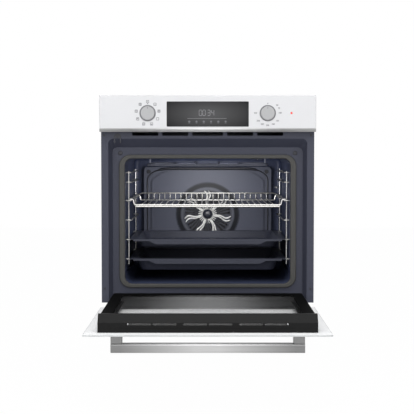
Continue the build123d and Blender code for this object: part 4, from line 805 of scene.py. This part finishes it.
# %% Painted shadow band on the cover
SHADOW_BAND_R = 0.0042
SHADOW_BAND_STEPS = 8
SHADOW_BAND_THICK_PAST = 0.03
SHADOW_BAND_HALF = 0.188
SHADOW_BAND_FLAT = 0.121
SHADOW_BAND_TOP = cover_high.z - 0.0055
SHADOW_BAND_THIN = 0.45
SHADOW_BAND_FALL = 0.036
SHADOW_BAND_FOOT = cover_low.z + 0.05
SHADOW_BAND_DEPTH = 0.006
shadow_band_y = cover_low.y + SHADOW_BAND_DEPTH


def seam_path():
    """Points up the left side, over the two shoulders and down the right side."""
    right = [(SHADOW_BAND_FLAT, SHADOW_BAND_TOP)]
    for step in range(1, SHADOW_BAND_STEPS + 1):
        turn = math.pi / 2 * step / SHADOW_BAND_STEPS
        run = SHADOW_BAND_FLAT + (SHADOW_BAND_HALF - SHADOW_BAND_FLAT) * math.sin(turn)
        right.append((run, SHADOW_BAND_TOP - SHADOW_BAND_FALL * (1 - math.cos(turn))))
    right.append((SHADOW_BAND_HALF, SHADOW_BAND_FOOT))
    left = [(-x, z) for x, z in reversed(right)]
    return left + right


shadow_band_points = seam_path()
shadow_band_curve = bpy.data.curves.new("shadow_band_source", "CURVE")
shadow_band_curve.dimensions = "3D"
shadow_band_curve.bevel_depth = SHADOW_BAND_R
shadow_band_curve.bevel_resolution = 3
shadow_band_curve.use_fill_caps = True
line = shadow_band_curve.splines.new("POLY")
line.points.add(len(shadow_band_points) - 1)
for point, (x, z) in zip(line.points, shadow_band_points):
    point.co = (x, shadow_band_y, z, 1.0)
    point.radius = 1.0 if abs(x) < SHADOW_BAND_FLAT + SHADOW_BAND_THICK_PAST else SHADOW_BAND_THIN
shadow_band_source = bpy.data.objects.new("shadow_band_source", shadow_band_curve)
shadow_band_mesh = bpy.data.meshes.new_from_object(shadow_band_source)
shadow_band = bmesh.new()
shadow_band.from_mesh(shadow_band_mesh)
bpy.data.objects.remove(shadow_band_source)
bpy.data.curves.remove(shadow_band_curve)
bpy.data.meshes.remove(shadow_band_mesh)
# The band is painted shadow in the step round the cover's raised middle, in the dark screw finish.
add_piece("cover_shadow_band", shadow_band, "chassis", "screw_dark")
print("cover seam:", len(shadow_band_points), "points")

# %% [markdown]
# The stage is a pale floor well under the handle, and the world is white to the camera and in
# reflections. Soft lamps light the oven from the front, from above and in pairs from both sides,
# and a small one inside the cavity shows its back wall.

# %% Stage, light and world
FLOOR_Z = -0.20
FLOOR_HALF = 6.0
ground = bmesh.new()
floor_place = Matrix.Translation((0, 0, FLOOR_Z))
bmesh.ops.create_grid(ground, x_segments=4, y_segments=4, size=FLOOR_HALF, matrix=floor_place)
ground_mesh = bpy.data.meshes.new("floor")
ground.to_mesh(ground_mesh)
ground.free()
floor = bpy.data.objects.new("floor", ground_mesh)
bpy.context.scene.collection.objects.link(floor)


def white_to_camera(tree, surface, target, share):
    """Mixes a surface with plain white for camera, gloss and glass rays."""
    path = tree.nodes.new("ShaderNodeLightPath")
    seen = maths(tree, "MAXIMUM", path.outputs["Is Camera Ray"], path.outputs["Is Glossy Ray"])
    seen = maths(tree, "MAXIMUM", seen, path.outputs["Is Transmission Ray"])
    mix = tree.nodes.new("ShaderNodeMixShader")
    white = tree.nodes.new("ShaderNodeEmission" if share < 1 else "ShaderNodeBackground")
    tree.links.new(maths(tree, "MULTIPLY", seen, share), mix.inputs["Fac"])
    tree.links.new(surface, mix.inputs[1])
    tree.links.new(white.outputs[0], mix.inputs[2])
    tree.links.new(mix.outputs["Shader"], target)
    white.inputs["Color"].default_value = (1, 1, 1, 1)


pale, floor_tree, floor_shader, _ = new_finish("floor_pale")
floor_shader.inputs["Base Color"].default_value = (0.9, 0.9, 0.9, 1)
floor_shader.inputs["Roughness"].default_value = 0.9
floor_out = floor_tree.nodes["Material Output"].inputs["Surface"]
white_to_camera(floor_tree, floor_shader.outputs["BSDF"], floor_out, 0.985)
ground_mesh.materials.append(pale)

world = bpy.data.worlds.new("studio")
bpy.context.scene.world = world
world.use_nodes = True
sky = world.node_tree.nodes["Background"]
sky.inputs["Color"].default_value = (0.95, 0.97, 1.0, 1)
sky.inputs["Strength"].default_value = 0.42
sky_out = world.node_tree.nodes["World Output"].inputs["Surface"]
white_to_camera(world.node_tree, sky.outputs[0], sky_out, 1.0)


def soft_lamp(name, place, aim, size, watts):
    """A large square lamp pointed at a place."""
    lamp = bpy.data.lights.new(name, "AREA")
    lamp.shape = "SQUARE"
    lamp.size = size
    lamp.energy = watts
    lamp_object = bpy.data.objects.new(name, lamp)
    lamp_object.location = place
    lamp_object.rotation_euler = (Vector(aim) - Vector(place)).to_track_quat("-Z", "Y").to_euler()
    bpy.context.scene.collection.objects.link(lamp_object)


soft_lamp("front_softbox", (0.0, -2.6, 2.0), (0, 0, 0.25), 1.6, 20)
soft_lamp("top_softbox", (0.0, -1.1, 2.2), (0, -0.55, 0.0), 1.2, 20)
for side, word in ((-1, "left"), (1, "right")):
    soft_lamp(f"{word}_fill", (side * 1.5, -3.3, 0.7), (0, 0, 0.25), 0.9, 13)
    soft_lamp(f"{word}_softbox", (side * 2.2, -1.8, 1.2), (0, -0.1, 0.25), 1.2, 8)
soft_lamp("oven_light", (0.0, -0.15, 0.395), (0.0, 0.15, 0.32), 0.2, 1.2)
print("stage with", len(bpy.data.lights), "lamps")

# %% [markdown]
# The camera stands a little over three metres in front of the panel and looks slightly down,
# with a long lens, so that the front keeps its true proportions.

# %% Camera and view
CAMERA_DISTANCE = 3.157
CAMERA_HEIGHT = 0.449
CAMERA_X = -0.0019
PITCH_DEG = 2.907
LENS_MM = 100
SENSOR_MM = 36
lens = bpy.data.cameras.new("view")
lens.lens = LENS_MM
lens.sensor_width = SENSOR_MM
camera = bpy.data.objects.new("view", lens)
camera.location = (CAMERA_X, face_y - CAMERA_DISTANCE, CAMERA_HEIGHT)
camera.rotation_euler = (math.radians(90 - PITCH_DEG), 0, 0)
bpy.context.scene.collection.objects.link(camera)
bpy.context.scene.camera = camera
bpy.context.scene.view_settings.view_transform = "Standard"
print("camera at", tuple(round(value, 3) for value in camera.location))
